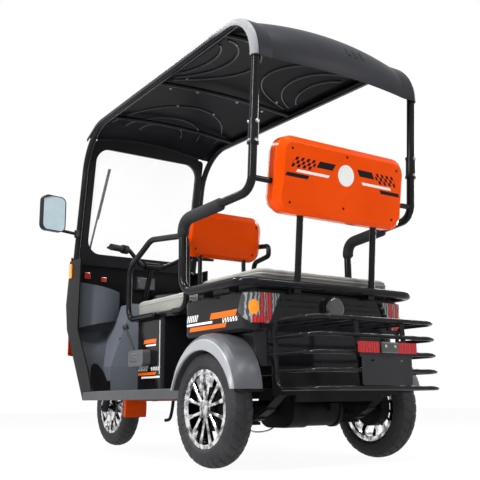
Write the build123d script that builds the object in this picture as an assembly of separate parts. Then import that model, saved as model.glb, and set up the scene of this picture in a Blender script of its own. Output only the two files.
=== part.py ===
from build123d import *
from math import cos, radians, sin
import os

os.makedirs("parts", exist_ok=True)

# Passenger tricycle with electric drive: one steered front wheel, two driven rear wheels,
# a driver's seat, a bench behind it, and a canopy on tube hoops. Millimetres.
# Everything is placed from the point on the ground below the rear axle: +X is the left
# side, +Y the rear, +Z up. Each piece is moved along Y as it is written, so that the
# origin of the finished machine lies below the middle of its outline.

# Fits
SEAT_GAP = 0.3
RUN_GAP = 0.05
CLEARANCE = 6.0

# Wheels
WHEELBASE = 1594.0
TRACK = 799.0
TYRE_RADIUS = 205.0
TYRE_WIDTH = 92.0
TREAD_WIDTH = 62.0
SHOULDER_WIDTH = 84.0
SHOULDER_DROP = 9.0
SIDEWALL_HEIGHT = 30.0
RIM_SEAT_RADIUS = 127.0
RIM_FLANGE_RADIUS = 139.0
RIM_WIDTH = 76.0
RIM_FLANGE = 4.0
RIM_WALL = 6.0
HUB_RADIUS = 34.0
HUB_CAP_RADIUS = 24.0
SPOKE_PAIRS = 6
SPOKE_WIDTH = 12.0
SPOKE_RIM_WIDTH = 20.0
SPOKE_BEVEL = 3.0
SPOKE_DEPTH = 15.0
SPOKE_HUB_SPREAD = 8.0
SPOKE_RIM_SPREAD = 15.0
BRAKE_DISC_RADIUS = 78.0
BRAKE_DISC_THICKNESS = 4.0

# Rear axle, drive and springs
STUB_RADIUS = 12.0
AXLE_RADIUS = 27.0
DRUM_RADIUS = 78.0
DRUM_WIDTH = 46.0
GEARBOX_RADIUS = 72.0
GEARBOX_X = 115.0
GEARBOX_WIDTH = 70.0
MOTOR_RADIUS = 60.0
MOTOR_LENGTH = 165.0
MOTOR_BEHIND = 92.0
MOTOR_DROP = 12.0
MOTOR_FLANGE = 14.0
LEAF_X = 245.0
LEAF_WIDTH = 40.0
LEAF_THICKNESS = 7.0
LEAF_FRONT_EYE_Y = -232.0
LEAF_REAR_EYE_Y = 200.0
LEAF_EYE_Z = 258.0
LEAF_EYE_RADIUS = 14.0
LEAF_PIN_RADIUS = 7.0

# Chassis
RAIL_X = 200.0
RAIL_WIDTH = 30.0
RAIL_HEIGHT = 28.0
RAIL_BEND = 45.0
FLOOR_UNDERSIDE_Z = 268.0
BED_UNDERSIDE_Z = 350.0
RAIL_FRONT_BACK = 429.0
RAIL_REAR_Y = 226.0
DOWN_TUBE_RADIUS = 17.0
DOWN_TUBE_KNEE_BACK = 280.0
DOWN_TUBE_KNEE_Z = 395.0
TAIL_PLATE_HALF = 300.0
TAIL_PLATE_BOTTOM_Z = 250.0
TAIL_PLATE_THICKNESS = 6.0
TAIL_BAR_BOTTOM_Z = 226.0

# Steering
RAKE = 25.0
FORK_OFFSET = 30.0
FORK_LEG_X = 76.0
FORK_TUBE_RADIUS = 15.0
FORK_SLIDER_RADIUS = 20.0
FORK_SLIDER_LENGTH = 170.0
CROWN_UP = 292.0
CROWN_THICKNESS = 28.0
STEM_RADIUS = 14.0
HEAD_TUBE_RADIUS = 26.0
HEAD_TUBE_LENGTH = 165.0
STEM_TOP_UP = 800.0
CLAMP_WALL = 9.0
FRONT_AXLE_RADIUS = 8.0
BAR_RADIUS = 11.0
BAR_BEND = 32.0
BAR_CENTRE_X = 62.0
BAR_BEND_X = 175.0
BAR_END_X = 300.0
BAR_RISE_Z = 994.0
BAR_END_Z = 990.0
BAR_BEND_BACK = 454.0
BAR_END_BACK = 506.0
GRIP_RADIUS = 16.5
GRIP_LENGTH = 82.0
SWITCH_LENGTH = 32.0
SWITCH_RADIUS = 22.5
LEVER_RADIUS = 6.0
LEVER_PIVOT_AHEAD = 34.0
LEVER_TIP_AHEAD = 52.0
MUDGUARD_GAP = 14.0
MUDGUARD_WALL = 3.0
MUDGUARD_WIDTH = 122.0
MUDGUARD_SKIRT = 26.0
MUDGUARD_FRONT_ANGLE = 62.0
MUDGUARD_REAR_ANGLE = 194.0

# Floor and leg shield
FLOOR_HALF_WIDTH = 385.0
FLOOR_FRONT_BACK = 404.0
FLOOR_THICKNESS = 14.0
SILL_BOTTOM_Z = 240.0
SILL_WIDTH = 34.0
SILL_EDGE = 6.0
SHIELD_WALL = 4.0
SHIELD_TOE_BACK = 174.0
SHIELD_TOE_Z = 600.0
SHIELD_TOP_Z = 955.0
SHIELD_EDGE = 7.0
RETURN_TOP_BACK = 323.0
RETURN_BELLY_BACK = 310.0
RETURN_BELLY_Z = 591.0
RETURN_KNEE_BACK = 452.0
RETURN_KNEE_Z = 383.0
RETURN_FOOT_BACK = 500.0
HUMP_BOTTOM_HALF = 230.0
HUMP_KNEE_Z = 406.0
HUMP_TOP_HALF = 100.0
HUMP_TOP_Z = 735.0
HUMP_REAR_BACK = 380.0
HUMP_TOP_BACK = 352.0
POCKET_INNER_X = 104.0
POCKET_DEPTH = 118.0
POCKET_SIDE_DEPTH = 62.0
POCKET_LIP_Z = 848.0
POCKET_LIP_FALL = 42.0
POCKET_LOW_Z = 594.0
POCKET_LOW_RISE = 62.0

# Nose
NOSE_HALF = 366.0
NOSE_BULGE = 205.0
NOSE_BOTTOM_Z = 470.0
NOSE_CHIN_Z = 620.0
NOSE_BROW_Z = 790.0
NOSE_TOP_Z = 985.0
NOSE_CHIN_BACK = 60.0
NOSE_BROW_LAP = 30.0
NOSE_WALL = 4.0
HEADLAMP_RADIUS = 82.0
HEADLAMP_Z = 770.0
HEADLAMP_DEPTH = 70.0
HEADLAMP_EDGE = 10.0
MARKER_BOTTOM_Z = 864.0
MARKER_TOP_Z = 938.0
MARKER_LENGTH = 26.0
MARKER_WIDTH = 7.0

# Canopy hoops and roof
TUBE_RADIUS = 16.0
HOOP_REAR_X = 400.0
HOOP_FRONT_X = 362.0
PILLAR_FOOT_BACK = 204.0
PILLAR_FOOT_Z = 959.0
PILLAR_TOP_BACK = 332.0
RAIL_TOP_Z = 1632.0
POST_LEAN = 0.0753
POST_FOOT_Y = 252.0
POST_FOOT_Z = 955.0
HOOP_FRONT_BEND = 255.0
HOOP_REAR_BEND = 170.0
SLEEVE_RADIUS = 19.5
SLEEVE_BOTTOM_Z = 1122.0
SLEEVE_TOP_Z = 1210.0
SLEEVE_COLLAR = 9.0
SLEEVE_COLLAR_RADIUS = 22.0
JOINT_Z = 1166.0
BOW_RADIUS = 10.0
BOW_RISE = 20.0
BOW_SHARES = (0.177, 0.493, 0.845)
ROOF_CROWN = 33.0
ROOF_CROWN_HALF = 338.0
ROOF_WALL = 4.0
ROOF_SKIRT = 9.0
ROOF_NOSE = 130.0
ROOF_NOSE_BEND = 205.0
ROOF_SINK = 12.0
ROOF_SET_BACK = 10.0
ROOF_SEAM = 2.0
VISOR_DROP = 186.0

# Windscreen
SCREEN_BOTTOM_Z = 945.0
SCREEN_DROP = 38.0
SCREEN_DEPTH = 22.0
SCREEN_BAND = 34.0
SCREEN_CORNER = 75.0
SCREEN_SILL = 62.0
SCREEN_ARCH = 34.0
SCREEN_ARCH_INSET = 30.0
SCREEN_OUTER_CORNER = 20.0
GLASS_THICKNESS = 5.0

# Bench frame, seat and backrest
ARM_OUTSET = 57.0
ARM_FRONT_Y = -165.0
ARM_FRONT_Z = 928.0
RING_Z = 640.0
RING_OUTSET = 37.0
RING_REAR_Y = 228.0
RING_BEND = 62.0
ARM_PAD_WALL = 5.0
ARM_PAD_SHARE = 0.46
ARM_PAD_DROP = 84.0
GUSSET_PLACES = (-60.0, 110.0)
GUSSET_HALF = 16.0
BACK_POST_LEAN = 26.0
STUB_RISE = 47.0
BACK_POST_X = 183.0
BACK_POST_RADIUS = 12.5
BENCH_INSET = 40.0
BENCH_FRONT_Y = -226.0
BENCH_REAR_Y = 194.0
BENCH_TOP_Z = 702.0
BENCH_BOARD = 10.0
HINGE_RADIUS = 6.0
HINGE_LUG_INSET = 21.0
HINGE_LUG_WIDTH = 8.0
HINGE_LUG_RISE = 8.0
BENCH_BACK_INSET = 59.0
BENCH_BACK_BOTTOM_Z = 886.0
BENCH_BACK_TOP_Z = 1166.0
BENCH_BACK_REAR_Y = 304.0
BENCH_SHELL_DEPTH = 62.0
BENCH_PAD_DEPTH = 70.0
BACK_LEAN = 8.5
BACK_CORNER = 62.0
SHELL_WALL = 4.0
SHELL_BACK_WALL = 12.0
SHELL_BEVEL = 20.0
SHELL_BEVEL_ANGLE = 50.0
SHELL_EDGE = 8.0
SHELL_RIDGE_SHARE = 0.24
SHELL_LOWER_SET = 7.0
PAD_LAP = 30.0
CUSHION_CORNER = 40.0
CUSHION_EDGE = 14.0

# Driver's seat
DRIVER_BOX_HALF = 200.0
DRIVER_BOX_FRONT_BACK = 604.0
DRIVER_BOX_LENGTH = 255.0
DRIVER_BOX_CORNER = 18.0
DRIVER_BOX_TOP_Z = 612.0
DRIVER_PAN_THICKNESS = 22.0
DRIVER_SEAT_HALF = 200.0
DRIVER_SEAT_FRONT_BACK = 568.0
DRIVER_SEAT_LENGTH = 466.0
DRIVER_SEAT_TOP_Z = 712.0
DRIVER_BACK_HALF = 204.0
DRIVER_BACK_BOTTOM_Z = 866.0
DRIVER_BACK_TOP_Z = 1076.0
DRIVER_BACK_REAR_BACK = 1087.0
DRIVER_SHELL_DEPTH = 42.0
DRIVER_PAD_DEPTH = 55.0
GUARD_X = 226.0
GUARD_LOW_Z = 623.0
GUARD_START_BACK = 824.0
GUARD_END_BACK = 1006.0
GUARD_RADIUS = 14.0
GUARD_FRONT_BACK = 564.0
GUARD_KNEE_Z = 880.0
GUARD_TOP_BACK = 784.0
GUARD_TOP_Z = 985.0
GUARD_REAR_BACK = 1114.0
GUARD_REAR_Z = 948.0
REST_FOOT_BACK = 976.0
REST_KNEE_BACK = 992.0
REST_KNEE_Z = 884.0
REST_TIP_BACK = 1110.0
REST_LOW_Z = 900.0
REST_HIGH_Z = 948.0
REST_END_BACK = 954.0
REST_END_Z = 965.0
DRIVER_POST_X = 120.0
DRIVER_POST_RADIUS = 10.0
DRIVER_POST_BACK = 1053.0

# Rear body
BODY_HALF_WIDTH = 375.0
BODY_WAIST_GAP = 21.5
BODY_FRONT_Y = -260.0
BODY_REAR_Y = 200.0
BODY_SHELF_Z = 470.0
BODY_TOP_Z = 610.0
BODY_WALL = 5.0
BODY_CORNER = 46.0
BODY_SHELF_EDGE = 16.0
FENDER_OUTSET = 60.5
FENDER_RADIUS = 210.0
FENDER_END_Z = 272.0
FENDER_WALL = 3.5
FENDER_LIP_WIDTH = 9.0
FENDER_LIP_RISE = 2.5
FENDER_SECTIONS = ((0.0, 0.0), (7.0, 30.0), (18.0, 46.0), (34.0, 55.0), (54.0, 58.0), (136.0, 58.0))
BATTERY_HALF_WIDTH = 250.0
BATTERY_LENGTH = 330.0
BATTERY_HEIGHT = 130.0

# Rear rack and plate
RACK_BARS = 5
RACK_BAR_RADIUS = 7.5
RACK_TOP_Z = 504.0
RACK_PITCH = 58.5
RACK_INSET = 30.0
RACK_SIDE_STEP = -3.0
RACK_REAR_Y = 449.0
RACK_REAR_STEP = 6.2
RACK_FRONT_Y = 240.0
RACK_CORNER = 70.0
RACK_LOOP_BEND = 36.0
RACK_COLLAR = 14.0
RACK_SLATS = 6
STRAP_X = 110.0
STRAP_WIDTH = 22.0
STRAP_THICKNESS = 4.0
PLATE_WIDTH = 236.0
PLATE_HEIGHT = 102.0
PLATE_MIDDLE_Z = 329.5
PLATE_THICKNESS = 3.0
PLATE_SLOT_SPACING = 140.0
PLATE_SLOT_LENGTH = 16.0
PLATE_SLOT_WIDTH = 7.0
PLATE_SLOT_UP = 32.0
REFLECTOR_X = (44.0, 136.0)
REFLECTOR_Z = (386.0, 423.0)
REFLECTOR_DEPTH = 9.0

# Lamps at the rear, outlines seen from behind as (x, z) and from the side as (y, z)
LAMP_DEPTH = 13.0
LAMP_REAR_OUTLINE = ((252.0, 604.0), (430.0, 604.0), (430.0, 498.0), (300.0, 498.0))
LAMP_SIDE_OUTLINE = ((168.0, 604.0), (230.0, 604.0), (230.0, 498.0), (198.0, 498.0), (142.0, 540.0))
CENTRE_LAMP_Z = 566.0
CENTRE_LAMP_RADIUS = 44.0
CENTRE_LAMP_DEPTH = 30.0
CENTRE_LAMP_EDGE = 12.0

# Small fittings
WIPER_X = 290.0
WIPER_LEAN = 8.0
WIPER_LENGTH = 360.0
WIPER_BLADE = 280.0
WIPER_BOSS_RADIUS = 13.0
WIPER_BOSS_DEPTH = 16.0
BRAKE_BOX_WIDTH = 40.0
BRAKE_BOX_FRONT_BACK = 594.0
BRAKE_BOX_LENGTH = 150.0
BRAKE_BOX_Z = (395.0, 470.0)
BRAKE_BOX_CORNER = 16.0
BRAKE_LEVER_BACK = 629.0
BRAKE_LEVER_Z = 455.0
BRAKE_LEVER_RADIUS = 6.0
BRAKE_KNOB_BACK = 522.0
BRAKE_KNOB_Z = 593.0
BRAKE_KNOB_RADIUS = 17.0

# Mirrors
MIRROR_X = 505.0
MIRROR_BACK = 249.0
MIRROR_Z = 1190.0
MIRROR_WIDTH = 138.0
MIRROR_HEIGHT = 186.0
MIRROR_DEPTH = 42.0
MIRROR_TURN = 12.0
MIRROR_CORNER = 32.0
MIRROR_EDGE = 14.0
MIRROR_POCKET = 6.0

# Places measured back from the front axle, as places from the rear axle
RAIL_FRONT_Y = RAIL_FRONT_BACK - WHEELBASE
BAR_BEND_Y = BAR_BEND_BACK - WHEELBASE
BAR_END_Y = BAR_END_BACK - WHEELBASE
FLOOR_FRONT_Y = FLOOR_FRONT_BACK - WHEELBASE
SHIELD_TOE_Y = SHIELD_TOE_BACK - WHEELBASE
HUMP_REAR_Y = HUMP_REAR_BACK - WHEELBASE
HUMP_TOP_REAR_Y = HUMP_TOP_BACK - WHEELBASE
PILLAR_FOOT_Y = PILLAR_FOOT_BACK - WHEELBASE
PILLAR_TOP_Y = PILLAR_TOP_BACK - WHEELBASE
DRIVER_BOX_FRONT_Y = DRIVER_BOX_FRONT_BACK - WHEELBASE
DRIVER_BOX_REAR_Y = DRIVER_BOX_FRONT_Y + DRIVER_BOX_LENGTH
DRIVER_SEAT_FRONT_Y = DRIVER_SEAT_FRONT_BACK - WHEELBASE
DRIVER_SEAT_REAR_Y = DRIVER_SEAT_FRONT_Y + DRIVER_SEAT_LENGTH
DRIVER_BACK_REAR_Y = DRIVER_BACK_REAR_BACK - WHEELBASE
DRIVER_POST_Y = DRIVER_POST_BACK - WHEELBASE
MIRROR_Y = MIRROR_BACK - WHEELBASE

# Sizes that follow others
POST_TOP_Y = POST_FOOT_Y + (RAIL_TOP_Z - POST_FOOT_Z) * POST_LEAN
BODY_WAIST_HALF = TRACK / 2 - TYRE_WIDTH / 2 - BODY_WAIST_GAP
FLOOR_TOP_Z = FLOOR_UNDERSIDE_Z + FLOOR_THICKNESS
FLOOR_REAR_Y = BODY_FRONT_Y - 2
SCREEN_TOP_Z = RAIL_TOP_Z - SCREEN_DROP
VISOR_EDGE_Z = RAIL_TOP_Z - VISOR_DROP
ARM_FRONT_X = BODY_HALF_WIDTH + ARM_OUTSET
RING_REAR_X = BODY_HALF_WIDTH + RING_OUTSET
BENCH_HALF_WIDTH = BODY_HALF_WIDTH - BENCH_INSET
BENCH_BACK_HALF = BODY_HALF_WIDTH - BENCH_BACK_INSET
HINGE_LUG_OUTER_X = BODY_HALF_WIDTH - HINGE_LUG_INSET
HINGE_LUG_X = (HINGE_LUG_OUTER_X - HINGE_LUG_WIDTH, HINGE_LUG_OUTER_X)
FENDER_LIP_X = TRACK / 2 + FENDER_OUTSET
RACK_SIDE_X = BODY_WAIST_HALF - RACK_INSET
RACK_LAST = RACK_BARS - 1
RACK_MIDDLE_X = RACK_SIDE_X + RACK_LAST * RACK_SIDE_STEP / 2
RACK_MIDDLE_Z = RACK_TOP_Z - RACK_LAST * RACK_PITCH / 2
PLATE_ROW = RACK_LAST - 1
PLATE_BACK_Y = RACK_REAR_Y + PLATE_ROW * RACK_REAR_STEP + RACK_BAR_RADIUS + SEAT_GAP
PLATE_FACE_Y = PLATE_BACK_Y + PLATE_THICKNESS
REAR_END_Y = PLATE_FACE_Y + 2 * REFLECTOR_DEPTH
ORIGIN_Y = (WHEELBASE + TYRE_RADIUS - REAR_END_Y) / 2


def save(name, shape):
    export_step(Pos(0, ORIGIN_Y, 0) * shape, "parts/" + name + ".step")


def mirrored(shape):
    return mirror(shape, about=Plane.YZ)


def both(shape):
    return Compound([*shape.solids(), *mirrored(shape).solids()])


def block(x_range, y_range, z_range):
    size = [high - low for low, high in (x_range, y_range, z_range)]
    middle = [(high + low) / 2 for low, high in (x_range, y_range, z_range)]
    return Pos(*middle) * Box(*size)


def rod(start, end, radius):
    run = Vector(*end) - Vector(*start)
    return Plane(origin=start, z_dir=run) * extrude(Circle(radius), amount=run.length)


def tube(points, bends, radius):
    path = FilletPolyline(*points, radius=bends)
    return sweep(Plane(origin=path @ 0, z_dir=path % 0) * Circle(radius), path)


def side_prism(outline, x_range):
    """A side-view outline of (y, z) points, as wide as x_range."""
    face = Plane.YZ * make_face(Polyline(*outline, close=True))
    return Pos(x_range[0], 0, 0) * extrude(face, amount=x_range[1] - x_range[0])


def post_y(z):
    """The line of the rear canopy post, which leans back as it rises."""
    return POST_FOOT_Y + (z - POST_FOOT_Z) * POST_LEAN


def pillar_y(z):
    """The line of the front canopy pillar."""
    rise = (z - PILLAR_FOOT_Z) / (RAIL_TOP_Z - PILLAR_FOOT_Z)
    return PILLAR_FOOT_Y + rise * (PILLAR_TOP_Y - PILLAR_FOOT_Y)


def hoop_x(y):
    """The canopy narrows towards the front."""
    share = (y - PILLAR_TOP_Y) / (POST_TOP_Y - PILLAR_TOP_Y)
    return HOOP_FRONT_X + share * (HOOP_REAR_X - HOOP_FRONT_X)


def on_hoop(y, z):
    return (hoop_x(y), y, z)


# Wheels
SPOKE_FACE = RIM_WIDTH / 2 - RIM_FLANGE
RIM_INNER = RIM_SEAT_RADIUS - RIM_WALL


def tyre():
    """The tyre's section in straight runs; the road tread is left to the scene."""
    bead = RIM_WIDTH / 2 - RIM_FLANGE - SEAT_GAP
    over_flange = RIM_FLANGE_RADIUS + SEAT_GAP
    right = [
        (bead, RIM_SEAT_RADIUS + SEAT_GAP),
        (bead, over_flange),
        (TYRE_WIDTH / 2, over_flange + SIDEWALL_HEIGHT),
        (SHOULDER_WIDTH / 2, TYRE_RADIUS - SHOULDER_DROP),
        (TREAD_WIDTH / 2, TYRE_RADIUS),
    ]
    left = [(-x, r) for x, r in reversed(right)]
    return revolve(make_face(Polyline(*right, *left, close=True)), Axis.X)


def spoke(hub_angle, rim_angle):
    """A bevelled arm from hub to barrel, wider where it meets the barrel."""
    inner = Vector(HUB_RADIUS - SPOKE_BEVEL, 0).rotate(Axis.Z, hub_angle)
    outer = Vector(RIM_INNER + RIM_WALL / 2, 0).rotate(Axis.Z, rim_angle)
    across = (outer - inner).normalized().rotate(Axis.Z, 90)
    neck = inner + (outer - inner) * 0.6
    sides = [(inner, SPOKE_WIDTH), (neck, SPOKE_WIDTH), (outer, SPOKE_RIM_WIDTH)]
    edge = [place + across * (width / 2) for place, width in sides]
    edge += [place - across * (width / 2) for place, width in reversed(sides)]
    face = Plane.YZ * make_face(Polyline(*[(c.X, c.Y) for c in edge], close=True))
    arm = Pos(SPOKE_FACE - SPOKE_DEPTH, 0, 0) * extrude(face, amount=SPOKE_DEPTH)
    return chamfer(arm.faces().sort_by(Axis.X)[-1].edges(), SPOKE_BEVEL)


def rim():
    half = RIM_WIDTH / 2
    barrel = [(-half + RIM_FLANGE, RIM_SEAT_RADIUS), (half - RIM_FLANGE, RIM_SEAT_RADIUS)]
    barrel += [(half - RIM_FLANGE, RIM_FLANGE_RADIUS), (half, RIM_FLANGE_RADIUS), (half, RIM_INNER + 3)]
    barrel += [(half - 8, RIM_INNER), (-half + 8, RIM_INNER), (-half, RIM_INNER + 3)]
    barrel += [(-half, RIM_FLANGE_RADIUS), (-half + RIM_FLANGE, RIM_FLANGE_RADIUS)]
    shape = revolve(make_face(Polyline(*barrel, close=True)), Axis.X)
    for pair in range(SPOKE_PAIRS):
        middle = pair * 360 / SPOKE_PAIRS + 90
        for side in (-1, 1):
            shape += spoke(middle + side * SPOKE_HUB_SPREAD, middle + side * SPOKE_RIM_SPREAD)
    return shape


def rear_rim():
    """Outer face towards +X; a blind bore takes the stub axle from the inside."""
    hub_inner = SPOKE_FACE - SPOKE_DEPTH - CLEARANCE
    shape = rim() + rod((hub_inner, 0, 0), (SPOKE_FACE, 0, 0), HUB_RADIUS)
    shape += rod((SPOKE_FACE, 0, 0), (SPOKE_FACE + 4, 0, 0), HUB_CAP_RADIUS)
    return shape - rod((hub_inner, 0, 0), (SPOKE_FACE - 5, 0, 0), STUB_RADIUS + RUN_GAP)


def front_rim():
    """The same rim on a long hub, with the brake disc on its left."""
    hub_half = FORK_LEG_X - FORK_SLIDER_RADIUS - CLEARANCE
    shape = rim() + rod((-hub_half, 0, 0), (hub_half, 0, 0), HUB_RADIUS)
    disc_x = hub_half - BRAKE_DISC_THICKNESS
    shape += rod((disc_x, 0, 0), (hub_half, 0, 0), BRAKE_DISC_RADIUS)
    return shape - rod((-hub_half, 0, 0), (hub_half, 0, 0), FRONT_AXLE_RADIUS + RUN_GAP)


HALF_TRACK = TRACK / 2
left_wheel = Pos(HALF_TRACK, 0, TYRE_RADIUS)
front_wheel = Pos(0, -WHEELBASE, TYRE_RADIUS)
save("rear_left_tyre", left_wheel * tyre())
save("rear_right_tyre", mirrored(left_wheel * tyre()))
save("rear_left_rim", left_wheel * rear_rim())
save("rear_right_rim", mirrored(left_wheel * rear_rim()))
save("front_tyre", front_wheel * tyre())
save("front_rim", front_wheel * front_rim())


# Rear axle: tube, brake drums, stub shafts and the reduction gearbox
DRUM_FACE = HALF_TRACK + SPOKE_FACE - SPOKE_DEPTH - 2 * CLEARANCE
STUB_END = HALF_TRACK + SPOKE_FACE - CLEARANCE
MOTOR_MIDDLE = (MOTOR_BEHIND, TYRE_RADIUS - MOTOR_DROP)
LEAF_TOP_Z = TYRE_RADIUS - AXLE_RADIUS - 4
LEAF_MIDDLE_Y = (LEAF_FRONT_EYE_Y + LEAF_REAR_EYE_Y) / 2
LEAF_HALF_SPAN = (LEAF_REAR_EYE_Y - LEAF_FRONT_EYE_Y) / 2
LEAF_SAG = LEAF_EYE_Z - LEAF_TOP_Z
LEAF_BEND = (LEAF_HALF_SPAN ** 2 + LEAF_SAG ** 2) / (2 * LEAF_SAG)


def rear_axle():
    drum_back = DRUM_FACE - DRUM_WIDTH
    half = rod((0, 0, TYRE_RADIUS), (drum_back, 0, TYRE_RADIUS), AXLE_RADIUS)
    half += rod((drum_back, 0, TYRE_RADIUS), (DRUM_FACE, 0, TYRE_RADIUS), DRUM_RADIUS)
    half += rod((DRUM_FACE, 0, TYRE_RADIUS), (STUB_END, 0, TYRE_RADIUS), STUB_RADIUS)
    pad = block((LEAF_X - 25, LEAF_X + 25), (-32, 32), (LEAF_TOP_Z - 2, TYRE_RADIUS))
    over_leaf = (LEAF_MIDDLE_Y, LEAF_TOP_Z + LEAF_BEND)
    half += pad & rod((LEAF_X - 30, *over_leaf), (LEAF_X + 30, *over_leaf), LEAF_BEND - SEAT_GAP)
    inner = GEARBOX_X - GEARBOX_WIDTH / 2
    outer = GEARBOX_X + GEARBOX_WIDTH / 2
    lobe_radius = MOTOR_RADIUS - SEAT_GAP
    gearbox = rod((inner, 0, TYRE_RADIUS), (outer, 0, TYRE_RADIUS), GEARBOX_RADIUS)
    gearbox += rod((inner, *MOTOR_MIDDLE), (outer, *MOTOR_MIDDLE), lobe_radius)
    gearbox += side_prism(
        [
            (0, TYRE_RADIUS + GEARBOX_RADIUS),
            (0, TYRE_RADIUS - GEARBOX_RADIUS),
            (MOTOR_BEHIND, MOTOR_MIDDLE[1] - lobe_radius),
            (MOTOR_BEHIND, MOTOR_MIDDLE[1] + lobe_radius),
        ],
        (inner, outer),
    )
    return half + mirrored(half) + gearbox


def drive_motor():
    """A smooth can beside the gearbox, behind the axle, with a flange at each end."""
    face = GEARBOX_X - GEARBOX_WIDTH / 2 - SEAT_GAP
    end = face - MOTOR_LENGTH
    can_radius = MOTOR_RADIUS - 5
    shape = rod((face, *MOTOR_MIDDLE), (end, *MOTOR_MIDDLE), can_radius)
    for x in (face, end + MOTOR_FLANGE):
        shape += rod((x, *MOTOR_MIDDLE), (x - MOTOR_FLANGE, *MOTOR_MIDDLE), MOTOR_RADIUS)
    terminal_x = (end + 2 * MOTOR_FLANGE, end + 5 * MOTOR_FLANGE)
    terminal_y = (MOTOR_BEHIND, MOTOR_BEHIND + can_radius + MOTOR_FLANGE)
    shape += block(terminal_x, terminal_y, (MOTOR_MIDDLE[1], MOTOR_MIDDLE[1] + can_radius / 2))
    return shape + rod((end, *MOTOR_MIDDLE), (end - MOTOR_FLANGE, *MOTOR_MIDDLE), can_radius * 0.7)


# Leaf springs below the axle
def leaf(lower, reach):
    """One leaf, lower by so many thicknesses, over a share of the span."""
    centre_z = LEAF_TOP_Z + LEAF_BEND
    inner = LEAF_BEND + lower * LEAF_THICKNESS
    ring = Pos(LEAF_MIDDLE_Y, centre_z) * (Circle(inner + LEAF_THICKNESS) - Circle(inner))
    window = Pos(LEAF_MIDDLE_Y, LEAF_TOP_Z) * Rectangle(2 * LEAF_HALF_SPAN * reach, 3 * LEAF_SAG)
    face = Plane.YZ * (ring & window)
    return Pos(LEAF_X - LEAF_WIDTH / 2, 0, 0) * extrude(face, amount=LEAF_WIDTH)


def rear_springs():
    spring = leaf(0, 1.0) + leaf(1, 0.72) + leaf(2, 0.44)
    inner_x, outer_x = LEAF_X - LEAF_WIDTH / 2, LEAF_X + LEAF_WIDTH / 2
    for eye_y in (LEAF_FRONT_EYE_Y, LEAF_REAR_EYE_Y):
        ends = ((inner_x, eye_y, LEAF_EYE_Z), (outer_x, eye_y, LEAF_EYE_Z))
        spring += rod(*ends, LEAF_EYE_RADIUS)
        spring -= rod(*ends, LEAF_PIN_RADIUS + SEAT_GAP)
    clamp_z = LEAF_TOP_Z - 3 * LEAF_THICKNESS
    spring += block((LEAF_X - 30, LEAF_X + 30), (-34, 34), (clamp_z - 8, clamp_z + 3))
    return both(spring)


save("rear_axle", rear_axle())
save("drive_motor", drive_motor())
save("rear_springs", rear_springs())


# Steering axis, with places along it as (x, up, ahead)
AXIS = Vector(0, sin(radians(RAKE)), cos(radians(RAKE)))
AHEAD = Vector(0, -cos(radians(RAKE)), sin(radians(RAKE)))
FRONT_AXLE = Vector(0, -WHEELBASE, TYRE_RADIUS)
AXIS_FOOT = FRONT_AXLE - AHEAD * FORK_OFFSET
CROWN_TOP_UP = CROWN_UP + CROWN_THICKNESS
HEAD_BOTTOM_UP = CROWN_TOP_UP + 1.0
CLAMP_UP = STEM_TOP_UP + SEAT_GAP + BAR_RADIUS + CLAMP_WALL


def steer(x, up, ahead=0.0):
    return AXIS_FOOT + Vector(x, 0, 0) + AXIS * up + AHEAD * ahead


def front_fork():
    foot = steer(FORK_LEG_X, -FORK_SLIDER_RADIUS, FORK_OFFSET)
    slider_top = steer(FORK_LEG_X, FORK_SLIDER_LENGTH, FORK_OFFSET)
    tube_foot = steer(FORK_LEG_X, 0, FORK_OFFSET)
    tube_top = steer(FORK_LEG_X, CROWN_TOP_UP + 10, FORK_OFFSET)
    leg = rod(foot, slider_top, FORK_SLIDER_RADIUS) + rod(tube_foot, tube_top, FORK_TUBE_RADIUS)
    fork = leg + mirrored(leg)
    crown_plane = Plane(origin=steer(0, CROWN_UP), x_dir=(1, 0, 0), z_dir=AXIS)
    crown = Pos(0, -FORK_OFFSET / 2) * RectangleRounded(2 * FORK_LEG_X + 60, FORK_OFFSET + 56, 24)
    fork += crown_plane * extrude(crown, amount=CROWN_THICKNESS)
    fork += rod(steer(0, CROWN_UP), steer(0, STEM_TOP_UP), STEM_RADIUS)
    axle_reach = Vector(FORK_LEG_X + FORK_SLIDER_RADIUS + 8, 0, 0)
    return fork + rod(FRONT_AXLE - axle_reach, FRONT_AXLE + axle_reach, FRONT_AXLE_RADIUS)


def bar_points():
    """Half of the handlebar, from the clamp to the grip's end."""
    clamp = steer(BAR_CENTRE_X, CLAMP_UP)
    return [tuple(clamp), (BAR_BEND_X, BAR_BEND_Y, BAR_RISE_Z), (BAR_END_X, BAR_END_Y, BAR_END_Z)]


def handlebar():
    left = bar_points()
    right = [(-x, y, z) for x, y, z in left]
    bar = tube(list(reversed(right)) + left, BAR_BEND, BAR_RADIUS)
    clamp_half = BAR_CENTRE_X - 20
    clamp = rod(steer(-clamp_half, CLAMP_UP), steer(clamp_half, CLAMP_UP), BAR_RADIUS + CLAMP_WALL)
    riser = rod(steer(0, STEM_TOP_UP + SEAT_GAP), steer(0, CLAMP_UP), STEM_RADIUS + 4)
    return bar + clamp + riser


def grip_frame(along):
    """A plane across the bar's end run, measured back from the end."""
    bend, end = Vector(*bar_points()[1]), Vector(*bar_points()[2])
    run = (end - bend).normalized()
    return end - run * along, run


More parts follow.
